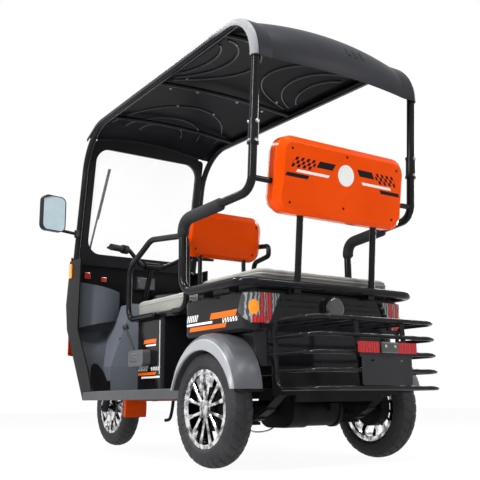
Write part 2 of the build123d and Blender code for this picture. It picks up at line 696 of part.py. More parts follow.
def bar_controls():
    """Grip, switch box and brake lever of the left hand."""
    end, run = grip_frame(-4.0)
    inner, run = grip_frame(GRIP_LENGTH)
    grip = rod(inner, end, GRIP_RADIUS)
    box_end, run = grip_frame(GRIP_LENGTH + SWITCH_LENGTH)
    grip += rod(box_end, inner, SWITCH_RADIUS)
    ahead = Vector(0, -1, 0.12)
    pivot = (inner + box_end) * 0.5 + ahead * LEVER_PIVOT_AHEAD
    grip += rod((inner + box_end) * 0.5, pivot, 1.5 * LEVER_RADIUS)
    tip = end + ahead * LEVER_TIP_AHEAD - run * LEVER_RADIUS
    grip += rod(pivot - run * LEVER_RADIUS, tip, LEVER_RADIUS)
    grip -= rod(box_end - run, grip_frame(0)[0], BAR_RADIUS + SEAT_GAP)
    return both(grip)


def front_mudguard():
    """A flanged band over the front wheel, stayed to the fork legs."""
    inner = TYRE_RADIUS + MUDGUARD_GAP
    outer = inner + MUDGUARD_WALL
    half = MUDGUARD_WIDTH / 2
    low = inner - MUDGUARD_SKIRT
    section = [(-half, low), (-half, outer), (half, outer), (half, low)]
    section += [(half - MUDGUARD_WALL, low), (half - MUDGUARD_WALL, inner)]
    section += [(-half + MUDGUARD_WALL, inner), (-half + MUDGUARD_WALL, low)]
    face = make_face(Polyline(*section, close=True))
    band = revolve(face, Axis.X, MUDGUARD_REAR_ANGLE - MUDGUARD_FRONT_ANGLE)
    return front_wheel * Rot(180 - MUDGUARD_REAR_ANGLE, 0, 0) * band


save("front_fork", front_fork())
save("handlebar", handlebar())
save("bar_controls", bar_controls())
save("front_mudguard", front_mudguard())


# Chassis: rails that step up over the axle, cross members, down tube and head tube
RAIL_Z = FLOOR_UNDERSIDE_Z - RAIL_HEIGHT / 2
REAR_RAIL_Z = BED_UNDERSIDE_Z - RAIL_HEIGHT / 2


def spring_hangers():
    """Two cheeks and a pin for each eye of the left spring."""
    shape = Part()
    inner_x = RAIL_X + RAIL_WIDTH / 2 - 2
    outer_x = LEAF_X + LEAF_WIDTH / 2 + 6
    for eye_y, top_z in ((LEAF_FRONT_EYE_Y, LEAF_EYE_Z + 40), (LEAF_REAR_EYE_Y, REAR_RAIL_Z)):
        y_range = (eye_y - 16, eye_y + 16)
        for x in (inner_x, outer_x - 4):
            shape += block((x, x + 5), y_range, (LEAF_EYE_Z - LEAF_EYE_RADIUS, top_z))
        shape += block((inner_x, outer_x), y_range, (LEAF_EYE_Z + LEAF_EYE_RADIUS + 4, top_z))
        shape += rod((inner_x, eye_y, LEAF_EYE_Z), (outer_x, eye_y, LEAF_EYE_Z), LEAF_PIN_RADIUS)
    return shape


def chassis_frame():
    points = [(RAIL_X, RAIL_FRONT_Y, RAIL_Z), (RAIL_X, BODY_FRONT_Y + 30, RAIL_Z)]
    points += [(RAIL_X, BODY_FRONT_Y + 90, REAR_RAIL_Z), (RAIL_X, RAIL_REAR_Y, REAR_RAIL_Z)]
    path = FilletPolyline(*points, radius=RAIL_BEND)
    start = Plane(origin=path @ 0, x_dir=(1, 0, 0), z_dir=path % 0)
    rail = sweep(start * Rectangle(RAIL_WIDTH, RAIL_HEIGHT), path) + spring_hangers()
    frame = rail + mirrored(rail)
    half_height = RAIL_HEIGHT / 2
    half_width = RAIL_WIDTH / 2
    cross_members = (
        (RAIL_FRONT_Y + half_width, RAIL_Z),
        ((RAIL_FRONT_Y + BODY_FRONT_Y) / 2, RAIL_Z),
        (BODY_FRONT_Y - 20, RAIL_Z),
        (RAIL_REAR_Y - half_width, REAR_RAIL_Z),
    )
    for y, z in cross_members:
        y_range = (y - half_width, y + half_width)
        frame += block((-RAIL_X, RAIL_X), y_range, (z - half_height, z + half_height))
    plate_y = (RAIL_REAR_Y - TAIL_PLATE_THICKNESS, RAIL_REAR_Y)
    plate_half = TAIL_PLATE_HALF
    frame += block((-plate_half, plate_half), plate_y, (TAIL_PLATE_BOTTOM_Z, BED_UNDERSIDE_Z))
    bar_y = (RAIL_REAR_Y - half_width, RAIL_REAR_Y)
    bar_half = RAIL_X
    frame += block((-bar_half, bar_half), bar_y, (TAIL_BAR_BOTTOM_Z, TAIL_PLATE_BOTTOM_Z + 2))
    head_top_up = HEAD_BOTTOM_UP + HEAD_TUBE_LENGTH
    neck = steer(0, HEAD_BOTTOM_UP + HEAD_TUBE_LENGTH * 0.6)
    foot_z = RAIL_Z - 4
    down_points = [
        tuple(neck),
        (0, DOWN_TUBE_KNEE_BACK - WHEELBASE, DOWN_TUBE_KNEE_Z),
        (0, RAIL_FRONT_Y - 48, foot_z),
        (0, RAIL_FRONT_Y + half_width, foot_z),
    ]
    frame += tube(down_points, RAIL_BEND, DOWN_TUBE_RADIUS)
    frame += rod(steer(0, HEAD_BOTTOM_UP), steer(0, head_top_up), HEAD_TUBE_RADIUS)
    return frame - rod(steer(0, HEAD_BOTTOM_UP - 5), steer(0, head_top_up + 5), STEM_RADIUS + RUN_GAP)


def floor_pan():
    """A plate over the rails with a deep rounded sill along each side."""
    y_range = (FLOOR_FRONT_Y, FLOOR_REAR_Y)
    half = FLOOR_HALF_WIDTH
    pan = block((-half, half), y_range, (FLOOR_UNDERSIDE_Z, FLOOR_TOP_Z))
    sill = block((half - SILL_WIDTH, half), y_range, (SILL_BOTTOM_Z, FLOOR_TOP_Z))
    pan += sill + mirrored(sill)
    outer_edges = pan.edges().filter_by(Axis.Y).group_by(SortBy.DISTANCE)[-1]
    return fillet(outer_edges, SILL_EDGE)


save("chassis_frame", chassis_frame())
save("floor_pan", floor_pan())


# Leg shield: toe board, upright panel, side returns, steering hump and two pockets
SHIELD_BELLY_Y = SHIELD_TOE_Y - 24
SHIELD_BELLY_Z = 730.0


def pillar_front_y(z):
    """The front of the windscreen frame, which the top of the shield laps."""
    return pillar_y(z) - SCREEN_DEPTH / 2 * 1.02 - SEAT_GAP


def shield_line():
    """The shield's front in side view, as (y, z), from the floor up."""
    top = (pillar_front_y(SHIELD_TOP_Z) - SHIELD_WALL, SHIELD_TOP_Z)
    foot = (FLOOR_FRONT_Y - SEAT_GAP, SILL_BOTTOM_Z)
    return [foot, (SHIELD_TOE_Y, SHIELD_TOE_Z), (SHIELD_BELLY_Y, SHIELD_BELLY_Z), top]


def shield_outline(depth):
    """The side view of the shield, thickened towards the driver."""
    line = shield_line()
    back = [(y + depth, z) for y, z in reversed(line[1:])]
    return line + back + [(line[0][0], line[0][1] + depth * 1.5)]


def ahead_of_shield():
    far = SHIELD_BELLY_Y - 2 * NOSE_BULGE
    outline = shield_line() + [(far, SHIELD_TOP_Z), (far, SILL_BOTTOM_Z)]
    return side_prism(outline, (-FLOOR_HALF_WIDTH, FLOOR_HALF_WIDTH))


def shield_return():
    """The deep side of the shield, from the floor up to the pillar."""
    inner = (
        (RETURN_TOP_BACK, SHIELD_TOP_Z),
        (RETURN_BELLY_BACK, RETURN_BELLY_Z),
        (RETURN_KNEE_BACK, RETURN_KNEE_Z),
        (RETURN_FOOT_BACK, FLOOR_TOP_Z + SEAT_GAP),
        (FLOOR_FRONT_BACK - SEAT_GAP, FLOOR_TOP_Z + SEAT_GAP),
    )
    outline = shield_line() + [(back - WHEELBASE, z) for back, z in inner]
    half = FLOOR_HALF_WIDTH
    return side_prism(outline, (half - SHIELD_EDGE, half))


def hump(inset, front_y):
    """The wheel housing and column cover, from the toe board up to the stem."""
    levels = (
        (SILL_BOTTOM_Z + 16, HUMP_BOTTOM_HALF, HUMP_REAR_Y),
        (HUMP_KNEE_Z, HUMP_BOTTOM_HALF, HUMP_REAR_Y),
        (HUMP_TOP_Z - inset, HUMP_TOP_HALF, HUMP_TOP_REAR_Y),
    )
    sections = []
    for z, half, rear in levels:
        depth = rear - inset - front_y
        sections.append(Pos(0, front_y + depth / 2, z) * Rectangle(2 * (half - inset), depth))
    return loft(sections, ruled=True)


def pocket(inset):
    """The left bin's body: bowed in plan, with an arched lower edge and a falling lip."""
    outer_x = FLOOR_HALF_WIDTH - 1 - inset
    inner_x = POCKET_INNER_X + inset
    middle_x = (outer_x + inner_x) / 2
    side_y = SHIELD_BELLY_Y + POCKET_SIDE_DEPTH - inset
    bow_y = SHIELD_BELLY_Y + POCKET_DEPTH - inset
    front_y = SHIELD_BELLY_Y - 20
    bow = ThreePointArc((outer_x, side_y), (middle_x, bow_y), (inner_x, side_y))
    rest = Polyline((inner_x, side_y), (inner_x, front_y), (outer_x, front_y), (outer_x, side_y))
    plan = make_face([bow, *rest.edges()])
    body = Pos(0, 0, POCKET_LOW_Z) * extrude(plan, amount=POCKET_LIP_Z - POCKET_LOW_Z)
    lift = 2 * inset
    low = ThreePointArc(
        (outer_x + 1, POCKET_LOW_Z + lift),
        (middle_x, POCKET_LOW_Z + 0.62 * POCKET_LOW_RISE + lift),
        (inner_x - 1, POCKET_LOW_Z + POCKET_LOW_RISE + lift),
    )
    lip_z = POCKET_LIP_Z + 4 * inset
    lip = Polyline(
        (inner_x - 1, POCKET_LOW_Z + POCKET_LOW_RISE + lift),
        (inner_x - 1, lip_z - POCKET_LIP_FALL),
        (outer_x + 1, lip_z),
        (outer_x + 1, POCKET_LOW_Z + lift),
    )
    view = Plane.XZ * make_face([low, *lip.edges()])
    window = Pos(0, SHIELD_BELLY_Y + 2 * POCKET_DEPTH, 0) * extrude(view, amount=4 * POCKET_DEPTH)
    tall = body + Pos(0, 0, lip_z - POCKET_LIP_Z) * body
    return tall & window


def leg_shield():
    half = FLOOR_HALF_WIDTH
    ahead = ahead_of_shield()
    panel = side_prism(shield_outline(SHIELD_WALL), (-half, half))
    panel += hump(0, SHIELD_BELLY_Y) - ahead
    left = shield_return()
    left += pocket(0) - pocket(SHIELD_WALL) - ahead
    foot_y = PILLAR_FOOT_Y
    foot_x = (hoop_x(foot_y) - TUBE_RADIUS + 2, half)
    left += block(foot_x, (foot_y - 22, foot_y + 22), (SHIELD_TOP_Z - 12, SHIELD_TOP_Z))
    panel += left + mirrored(left)
    panel -= hump(SHIELD_WALL, SHIELD_BELLY_Y - 60)
    notch = DOWN_TUBE_RADIUS + CLEARANCE
    notch_y = (HUMP_REAR_Y - 2 * notch, FLOOR_FRONT_Y + notch)
    panel -= block((-notch, notch), notch_y, (SILL_BOTTOM_Z - notch, SILL_BOTTOM_Z + 2 * notch))
    stem_foot = steer(0, HEAD_BOTTOM_UP + HEAD_TUBE_LENGTH)
    return panel - rod(stem_foot, steer(0, STEM_TOP_UP), STEM_RADIUS + 20)


save("leg_shield", leg_shield())


# Nose: curved cowl in front of the leg shield, with the headlamp
NOSE_BACK_Y = SHIELD_BELLY_Y - SEAT_GAP


def nose(inset):
    half = NOSE_HALF - inset
    back_y = NOSE_BACK_Y
    front_y = back_y - NOSE_BULGE + inset
    arc = ThreePointArc((-half, back_y), (0, front_y), (half, back_y))
    bow = make_face(arc + Line((half, back_y), (-half, back_y)))
    plan = Pos(0, 0, NOSE_BOTTOM_Z - inset) * extrude(bow, amount=NOSE_TOP_Z - NOSE_BOTTOM_Z)
    front = front_y - 2
    lean = [
        (back_y + 4, NOSE_BOTTOM_Z - inset),
        (front + NOSE_CHIN_BACK, NOSE_BOTTOM_Z - inset),
        (front, NOSE_CHIN_Z - inset),
        (front, NOSE_BROW_Z - inset),
        (back_y - NOSE_BROW_LAP, NOSE_TOP_Z - inset),
        (back_y + 4, NOSE_TOP_Z - inset),
    ]
    return plan & side_prism(lean, (-half, half))


def front_cowl():
    ahead = (0, NOSE_BACK_Y - 2 * NOSE_BULGE, HEADLAMP_Z)
    hole = rod(ahead, (0, NOSE_BACK_Y, HEADLAMP_Z), HEADLAMP_RADIUS + SEAT_GAP)
    return nose(0) - nose(NOSE_WALL) - hole


def headlamp():
    """The round lamp in the nose, and a slim marker on each side of the shield."""
    face_y = NOSE_BACK_Y - NOSE_BULGE
    bowl = rod((0, face_y + HEADLAMP_DEPTH, HEADLAMP_Z), (0, face_y - 4, HEADLAMP_Z), HEADLAMP_RADIUS)
    bowl = fillet(bowl.edges().sort_by(Axis.Y)[0], HEADLAMP_EDGE)
    side_x = FLOOR_HALF_WIDTH + SEAT_GAP
    front_y = pillar_front_y(SHIELD_TOP_Z)
    marker_y = (front_y, front_y + MARKER_LENGTH)
    marker = block((side_x, side_x + MARKER_WIDTH), marker_y, (MARKER_BOTTOM_Z, MARKER_TOP_Z))
    return Compound([*bowl.solids(), *both(marker).solids()])


save("front_cowl", front_cowl())
save("headlamp", headlamp())


# Canopy hoops, cross bows and the roof panel
ROOF_LIFT = TUBE_RADIUS + SEAT_GAP


def roof_points(lift):
    """The roof's line in side view, as (y, z), so far outside the hoops' centre line."""
    front_y = pillar_y(SCREEN_TOP_Z) + SCREEN_DEPTH / 2 + ROOF_SET_BACK
    front = Vector(0, front_y, SCREEN_TOP_Z - ROOF_SINK)
    brow = Vector(0, front.Y + ROOF_NOSE, RAIL_TOP_Z)
    run = (brow - front).normalized()
    post = Vector(0, POST_TOP_Y - POST_FOOT_Y, RAIL_TOP_Z - POST_FOOT_Z).normalized()
    return [
        (front.Y - run.Z * lift, front.Z + run.Y * lift),
        (brow.Y - lift * (1 - run.Y) / run.Z, RAIL_TOP_Z + lift),
        (POST_TOP_Y + lift * (1 + post.Y) / post.Z, RAIL_TOP_Z + lift),
        (post_y(VISOR_EDGE_Z) + lift / post.Z, VISOR_EDGE_Z),
    ]


def canopy_frame():
    rear_joint = (HOOP_REAR_X, post_y(JOINT_Z), JOINT_Z)
    points = [on_hoop(PILLAR_FOOT_Y, PILLAR_FOOT_Z), on_hoop(PILLAR_TOP_Y, RAIL_TOP_Z)]
    points += [(HOOP_REAR_X, POST_TOP_Y, RAIL_TOP_Z), rear_joint]
    hoop = tube(points, [HOOP_FRONT_BEND, HOOP_REAR_BEND], TUBE_RADIUS)
    sleeve_bands = (
        (SLEEVE_BOTTOM_Z, SLEEVE_TOP_Z, SLEEVE_RADIUS),
        (SLEEVE_BOTTOM_Z, SLEEVE_BOTTOM_Z + SLEEVE_COLLAR, SLEEVE_COLLAR_RADIUS),
        (SLEEVE_TOP_Z - SLEEVE_COLLAR, SLEEVE_TOP_Z, SLEEVE_COLLAR_RADIUS),
    )
    for low, high, radius in sleeve_bands:
        hoop += rod((HOOP_REAR_X, post_y(low), low), (HOOP_REAR_X, post_y(high), high), radius)
    sleeve_foot = (HOOP_REAR_X, post_y(SLEEVE_BOTTOM_Z), SLEEVE_BOTTOM_Z)
    hoop -= rod(sleeve_foot, rear_joint, TUBE_RADIUS + SEAT_GAP)
    frame = hoop + mirrored(hoop)
    for share in BOW_SHARES:
        y = PILLAR_TOP_Y + share * (POST_TOP_Y - PILLAR_TOP_Y)
        end = hoop_x(y)
        top = (0, y, RAIL_TOP_Z + BOW_RISE)
        arc = ThreePointArc((-end, y, RAIL_TOP_Z), top, (end, y, RAIL_TOP_Z))
        frame += sweep(Plane(origin=arc @ 0, z_dir=arc % 0) * Circle(BOW_RADIUS), arc)
    return frame


def roof_sheet():
    """The crowned sheet with a flat margin each side, swept over the hoops."""
    points = [(0, y, z) for y, z in roof_points(ROOF_LIFT)]
    bends = [ROOF_NOSE_BEND + ROOF_LIFT, HOOP_REAR_BEND + ROOF_LIFT]
    path = FilletPolyline(*points, radius=bends)
    half = HOOP_REAR_X + TUBE_RADIUS
    inner, crown, wall = ROOF_CROWN_HALF, ROOF_CROWN, ROOF_WALL
    over = ThreePointArc((-inner, wall), (0, crown + wall), (inner, wall))
    right = Polyline((inner, wall), (half, wall), (half, 0), (inner, 0))
    under = ThreePointArc((inner, 0), (0, crown), (-inner, 0))
    left = Polyline((-inner, 0), (-half, 0), (-half, wall), (-inner, wall))
    face = make_face([over, *right.edges(), under, *left.edges()])
    sheet = sweep(Plane(origin=path @ 0, x_dir=(-1, 0, 0), z_dir=path % 0) * face, path)
    front_y, rear_y = PILLAR_FOOT_Y, POST_TOP_Y + HOOP_REAR_BEND
    rear_x = HOOP_REAR_X - ROOF_SEAM
    plan = [(hoop_x(front_y) - ROOF_SEAM, front_y), (rear_x, POST_TOP_Y), (rear_x, rear_y)]
    plan += [(-x, y) for x, y in reversed(plan)]
    return sheet & extrude(make_face(Polyline(*plan, close=True)), amount=RAIL_TOP_Z * 2)


def roof_lip():
    """The left edge, rolled over the outside of the hoop and turned down."""
    points = [on_hoop(y, z) for y, z in roof_points(0)[:2]]
    points += [(HOOP_REAR_X, y, z) for y, z in roof_points(0)[2:]]
    path = FilletPolyline(*points, radius=[ROOF_NOSE_BEND, HOOP_REAR_BEND])
    wall, outer = ROOF_WALL, ROOF_LIFT + ROOF_WALL
    roll = Circle(outer) - Circle(ROOF_LIFT)
    roll &= Pos(-outer / 2, outer / 2) * Rectangle(outer, outer)
    roll += Pos(-outer + wall / 2, -ROOF_SKIRT / 2) * Rectangle(wall, ROOF_SKIRT)
    tongue = 3 * wall
    roll += Pos(tongue / 4, ROOF_LIFT + wall / 2) * Rectangle(tongue, wall / 2)
    return sweep(Plane(origin=path @ 0, x_dir=(-1, 0, 0), z_dir=path % 0) * roll, path)


def roof_panel():
    lip = roof_lip()
    return roof_sheet() + lip + mirrored(lip)


save("canopy_frame", canopy_frame())
save("roof_panel", roof_panel())


# Windscreen between the pillars, in the plane of the pillars
def screen_face(half_bottom, half_top, low, high, corner):
    outline = [(-half_bottom, low), (half_bottom, low), (half_top, high), (-half_top, high)]
    face = make_face(Polyline(*outline, close=True))
    return fillet(face.vertices(), corner)


def screen_plane():
    along = Vector(0, PILLAR_TOP_Y - PILLAR_FOOT_Y, RAIL_TOP_Z - PILLAR_FOOT_Z)
    origin = Vector(0, pillar_y(SCREEN_BOTTOM_Z), SCREEN_BOTTOM_Z)
    return Plane(origin=origin, x_dir=(1, 0, 0), z_dir=along.cross(Vector(-1, 0, 0)))


def screen_height():
    along = Vector(0, PILLAR_TOP_Y - PILLAR_FOOT_Y, RAIL_TOP_Z - PILLAR_FOOT_Z).normalized()
    return (SCREEN_TOP_Z - SCREEN_BOTTOM_Z) / along.Z


def screen_half(z):
    return hoop_x(pillar_y(z)) - TUBE_RADIUS - SEAT_GAP


def windscreen_frame():
    height = screen_height()
    low, high = screen_half(SCREEN_BOTTOM_Z), screen_half(SCREEN_TOP_Z)
    band = SCREEN_BAND
    outer = screen_face(low, high, 0, height, SCREEN_OUTER_CORNER)
    ends = ((-high + SCREEN_ARCH_INSET, height), (high - SCREEN_ARCH_INSET, height))
    arch = ThreePointArc(ends[0], (0, height + SCREEN_ARCH), ends[1])
    outer += make_face(arch + Line(ends[1], ends[0]))
    inner = screen_face(low - band, high - band, SCREEN_SILL, height - band, SCREEN_CORNER)
    return screen_plane() * extrude(outer - inner, amount=SCREEN_DEPTH / 2, both=True)


def windscreen_glass():
    height = screen_height()
    band = SCREEN_BAND + SEAT_GAP
    low, high = screen_half(SCREEN_BOTTOM_Z) - band, screen_half(SCREEN_TOP_Z) - band
    pane = screen_face(low, high, SCREEN_SILL + SEAT_GAP, height - band, SCREEN_CORNER - SEAT_GAP)
    return screen_plane() * extrude(pane, amount=GLASS_THICKNESS / 2, both=True)


save("windscreen_frame", windscreen_frame())
save("windscreen_glass", windscreen_glass())


# Bench frame: one bent tube from post to post, round the seat, with gussets and back posts
def arm_points():
    top = (HOOP_REAR_X, post_y(JOINT_Z - SEAT_GAP), JOINT_Z - SEAT_GAP)
    foot = (HOOP_REAR_X, POST_FOOT_Y, POST_FOOT_Z)
    knee = (ARM_FRONT_X, ARM_FRONT_Y, ARM_FRONT_Z)
    heel = (ARM_FRONT_X, ARM_FRONT_Y, RING_Z)
    corner = (RING_REAR_X, RING_REAR_Y, RING_Z)
    return [top, foot, knee, heel, corner]


def bench_frame():
    left = arm_points()
    right = [(-x, y, z) for x, y, z in reversed(left)]
    frame = tube(left + right, RING_BEND, TUBE_RADIUS)
    gusset_z = (BODY_TOP_Z, RING_Z - 4)
    half = Part()
    for y in GUSSET_PLACES:
        half += block((BODY_HALF_WIDTH - 6, RING_REAR_X), (y - GUSSET_HALF, y + GUSSET_HALF), gusset_z)
    gusset_x = (BACK_POST_X - GUSSET_HALF, BACK_POST_X + GUSSET_HALF)
    half += block(gusset_x, (BODY_REAR_Y - 4, RING_REAR_Y), gusset_z)
    post_head = (BACK_POST_X, RING_REAR_Y + BACK_POST_LEAN, BENCH_BACK_BOTTOM_Z + 20)
    half += rod((BACK_POST_X, RING_REAR_Y, RING_Z), post_head, BACK_POST_RADIUS)
    stub_z = POST_FOOT_Z + STUB_RISE
    stub_end = (BENCH_BACK_HALF + SEAT_GAP, post_y(stub_z), stub_z)
    half += rod((HOOP_REAR_X, post_y(stub_z), stub_z), stub_end, BACK_POST_RADIUS - 2)
    return frame + half + mirrored(half)


def arm_pads():
    """Foam sleeves over the front of the sloping arms, round the bend and down."""
    foot, knee = Vector(*arm_points()[1]), Vector(*arm_points()[2])
    start = knee + (foot - knee) * ARM_PAD_SHARE
    end = knee - Vector(0, 0, ARM_PAD_DROP)
    outside = tube([tuple(start), tuple(knee), tuple(end)], RING_BEND, TUBE_RADIUS + ARM_PAD_WALL)
    far = knee + (foot - knee) * (ARM_PAD_SHARE + 0.05)
    low = end - Vector(0, 0, 10)
    inside = tube([tuple(far), tuple(knee), tuple(low)], RING_BEND, TUBE_RADIUS + SEAT_GAP)
    return both(outside - inside)


save("bench_frame", bench_frame())
save("arm_pads", arm_pads())


# Backrests: a moulded tray behind, a pad in front, leaning back
def back_face(half, low, high, corner):
    return Pos(0, (low + high) / 2) * RectangleRounded(2 * half, high - low, corner)


def back_plane(rear_y, middle_z):
    lean = Vector(0, sin(radians(BACK_LEAN)), cos(radians(BACK_LEAN)))
    return Plane(origin=(0, rear_y, middle_z), x_dir=(-1, 0, 0), z_dir=Vector(0, lean.Z, -lean.Y))


def backrest(half, low_z, high_z, rear_y, depth, pad_depth):
    """The bevelled shell, open to the front, and the pad that fills it."""
    rise = (high_z - low_z) / cos(radians(BACK_LEAN)) / 2
    plane = back_plane(rear_y, (low_z + high_z) / 2)
    border = back_face(half, -rise, rise, BACK_CORNER)
    bevel = Pos(0, 0, -SHELL_BEVEL) * extrude(border, amount=SHELL_BEVEL, taper=SHELL_BEVEL_ANGLE)
    shape = Pos(0, 0, -depth) * extrude(border, amount=depth - SHELL_BEVEL) + bevel
    shape = fillet(shape.faces().sort_by(Axis.Z)[-1].edges(), SHELL_EDGE)
    ridge = -rise * SHELL_RIDGE_SHARE
    below = make_face(Polyline((ridge, 0), (-rise, 0), (-rise, -SHELL_LOWER_SET), close=True))
    lower = Plane(origin=(-half, 0, 0), x_dir=(0, 1, 0), z_dir=(1, 0, 0)) * below
    shape -= extrude(lower, amount=2 * half)
    wall = SHELL_WALL
    hollow = back_face(half - wall, -rise + wall, rise - wall, BACK_CORNER - wall)
    shape -= Pos(0, 0, -SHELL_BEVEL - wall) * extrude(hollow, amount=-depth)
    inset = wall + SEAT_GAP
    filling = back_face(half - inset, -rise + inset, rise - inset, BACK_CORNER - inset)
    pad_length = depth + pad_depth - PAD_LAP - SHELL_BEVEL
    pad = Pos(0, 0, -SHELL_BEVEL - inset) * extrude(filling, amount=-pad_length)
    return plane * shape, plane * pad


bench_shell, bench_pad = backrest(
    half=BENCH_BACK_HALF,
    low_z=BENCH_BACK_BOTTOM_Z,
    high_z=BENCH_BACK_TOP_Z,
    rear_y=BENCH_BACK_REAR_Y,
    depth=BENCH_SHELL_DEPTH,
    pad_depth=BENCH_PAD_DEPTH,
)
driver_shell, driver_pad = backrest(
    half=DRIVER_BACK_HALF,
    low_z=DRIVER_BACK_BOTTOM_Z,
    high_z=DRIVER_BACK_TOP_Z,
    rear_y=DRIVER_BACK_REAR_Y,
    depth=DRIVER_SHELL_DEPTH,
    pad_depth=DRIVER_PAD_DEPTH,
)
bench_posts = bench_frame()
save("bench_back_shell", bench_shell - bench_posts)
save("bench_back_pad", bench_pad - bench_posts)


# Rear body: hollow tub, wide above the wheels and narrow between them, with hinge lugs
HINGE_Y = BODY_FRONT_Y + 12
HINGE_Z = BODY_TOP_Z + SEAT_GAP + HINGE_RADIUS


def tub(inset, bottom_z, top_z):
    """The tub's body, drawn in by an inset; the wide part has a rounded lower edge."""
    y_length = BODY_REAR_Y - BODY_FRONT_Y - 2 * inset
    middle_y = (BODY_REAR_Y + BODY_FRONT_Y) / 2
    shelf_z = BODY_SHELF_Z + inset
    corner = BODY_CORNER - inset
    wide = Pos(0, middle_y, shelf_z) * RectangleRounded(2 * (BODY_HALF_WIDTH - inset), y_length, corner)
    upper = extrude(wide, amount=top_z - shelf_z)
    upper = fillet(upper.faces().sort_by(Axis.Z)[0].edges(), BODY_SHELF_EDGE - inset)
    waist = Pos(0, middle_y, bottom_z) * RectangleRounded(2 * (BODY_WAIST_HALF - inset), y_length, corner)
    return upper + extrude(waist, amount=shelf_z + BODY_SHELF_EDGE - bottom_z)


def rear_body():
    body = tub(0, BED_UNDERSIDE_Z, BODY_TOP_Z)
    body -= tub(BODY_WALL, BED_UNDERSIDE_Z + BODY_WALL, BODY_TOP_Z + BODY_WALL)
    skirt_half = BODY_WAIST_HALF - BODY_CORNER
    skirt_z = (FLOOR_TOP_Z, BED_UNDERSIDE_Z + BODY_WALL)
    body += block((-skirt_half, skirt_half), (BODY_FRONT_Y, BODY_FRONT_Y + BODY_WALL), skirt_z)
    lug_y = (HINGE_Y - HINGE_RADIUS, HINGE_Y + HINGE_LUG_RISE)
    lug_z = (BODY_TOP_Z - 2 * HINGE_LUG_RISE, HINGE_Z + HINGE_LUG_RISE)
    pin_ends = [(x, HINGE_Y, HINGE_Z) for x in HINGE_LUG_X]
    lug = block(HINGE_LUG_X, lug_y, lug_z) - rod(*pin_ends, HINGE_RADIUS + RUN_GAP)
    return body + lug + mirrored(lug)


def dome(inset):
    """The fender's body: upright discs between the lip and the crown, each set higher."""
    sections = []
    for inwards, rise in FENDER_SECTIONS:
        place = Plane.YZ.offset(FENDER_LIP_X - inset - inwards)
        sections.append(place * Pos(0, TYRE_RADIUS + rise) * Circle(FENDER_RADIUS - inset))
    return loft(sections, ruled=True)


def fender():
    """A domed arch over the left wheel, seated against the body's side."""
    arch = dome(0) - dome(FENDER_WALL)
    lip_start = FENDER_LIP_X - FENDER_LIP_WIDTH
    lip_ends = ((lip_start, 0, TYRE_RADIUS), (FENDER_LIP_X, 0, TYRE_RADIUS))
    arch += rod(*lip_ends, FENDER_RADIUS + FENDER_LIP_RISE)
    through = ((BODY_WAIST_HALF, 0, TYRE_RADIUS), (FENDER_LIP_X, 0, TYRE_RADIUS))
    arch -= rod(*through, FENDER_RADIUS - FENDER_WALL)
    reach = 2 * FENDER_RADIUS
    arch &= block((BODY_WAIST_HALF + SEAT_GAP, reach * 2), (-reach, reach), (FENDER_END_Z, reach * 2))
    return arch - tub(-SEAT_GAP, BED_UNDERSIDE_Z, BODY_TOP_Z)


def battery_pack():
    bottom = BED_UNDERSIDE_Z + BODY_WALL + SEAT_GAP
    middle = (BODY_FRONT_Y + BODY_REAR_Y) / 2
    y_range = (middle - BATTERY_LENGTH / 2, middle + BATTERY_LENGTH / 2)
    half = BATTERY_HALF_WIDTH
    return block((-half, half), y_range, (bottom, bottom + BATTERY_HEIGHT))


save("rear_body", rear_body())
save("rear_left_fender", fender())
save("rear_right_fender", mirrored(fender()))
save("battery_pack", battery_pack())


# Bench seat: a hinged board with its cushion, lifting to open the tub
BOARD_BOTTOM_Z = BODY_TOP_Z + SEAT_GAP
BOARD_TOP_Z = BOARD_BOTTOM_Z + BENCH_BOARD


def bench_board():
    half = BENCH_HALF_WIDTH + 8
    board = block((-half, half), (HINGE_Y, BENCH_REAR_Y - 4), (BOARD_BOTTOM_Z, BOARD_TOP_Z))
    pin_x = HINGE_LUG_OUTER_X
    return board + rod((-pin_x, HINGE_Y, HINGE_Z), (pin_x, HINGE_Y, HINGE_Z), HINGE_RADIUS)


def cushion(half, y_range, z_range):
    """A seat pad with rounded corners and a soft upper edge."""
    middle_y = (y_range[0] + y_range[1]) / 2
    face = RectangleRounded(2 * half, y_range[1] - y_range[0], CUSHION_CORNER)
    pad = extrude(Pos(0, middle_y, z_range[0]) * face, amount=z_range[1] - z_range[0])
    return fillet(pad.faces().sort_by(Axis.Z)[-1].edges(), CUSHION_EDGE)


save("bench_board", bench_board())
bench_y = (BENCH_FRONT_Y, BENCH_REAR_Y)
save("bench_cushion", cushion(BENCH_HALF_WIDTH, bench_y, (BOARD_TOP_Z + SEAT_GAP, BENCH_TOP_Z)))


# Driver's seat: box, pan, cushion and the left side guard
PAN_BOTTOM_Z = DRIVER_BOX_TOP_Z
PAN_TOP_Z = PAN_BOTTOM_Z + DRIVER_PAN_THICKNESS


def driver_seat_box():
    half = DRIVER_BOX_HALF
    y_range = (DRIVER_BOX_FRONT_Y, DRIVER_BOX_REAR_Y)
    box = block((-half, half), y_range, (FLOOR_TOP_Z, DRIVER_BOX_TOP_Z))
    return fillet(box.edges().filter_by(Axis.Z), DRIVER_BOX_CORNER)


def driver_posts():
    """Two bent posts from the pan up into the backrest."""
    foot_z = (PAN_BOTTOM_Z + PAN_TOP_Z) / 2
    head_z = DRIVER_BACK_BOTTOM_Z + 30
    points = [(DRIVER_SEAT_REAR_Y - 40, foot_z), (DRIVER_POST_Y, foot_z), (DRIVER_POST_Y, head_z)]
    path = [(DRIVER_POST_X, y, z) for y, z in points]
    return both(tube(path, 2 * DRIVER_POST_RADIUS, DRIVER_POST_RADIUS))


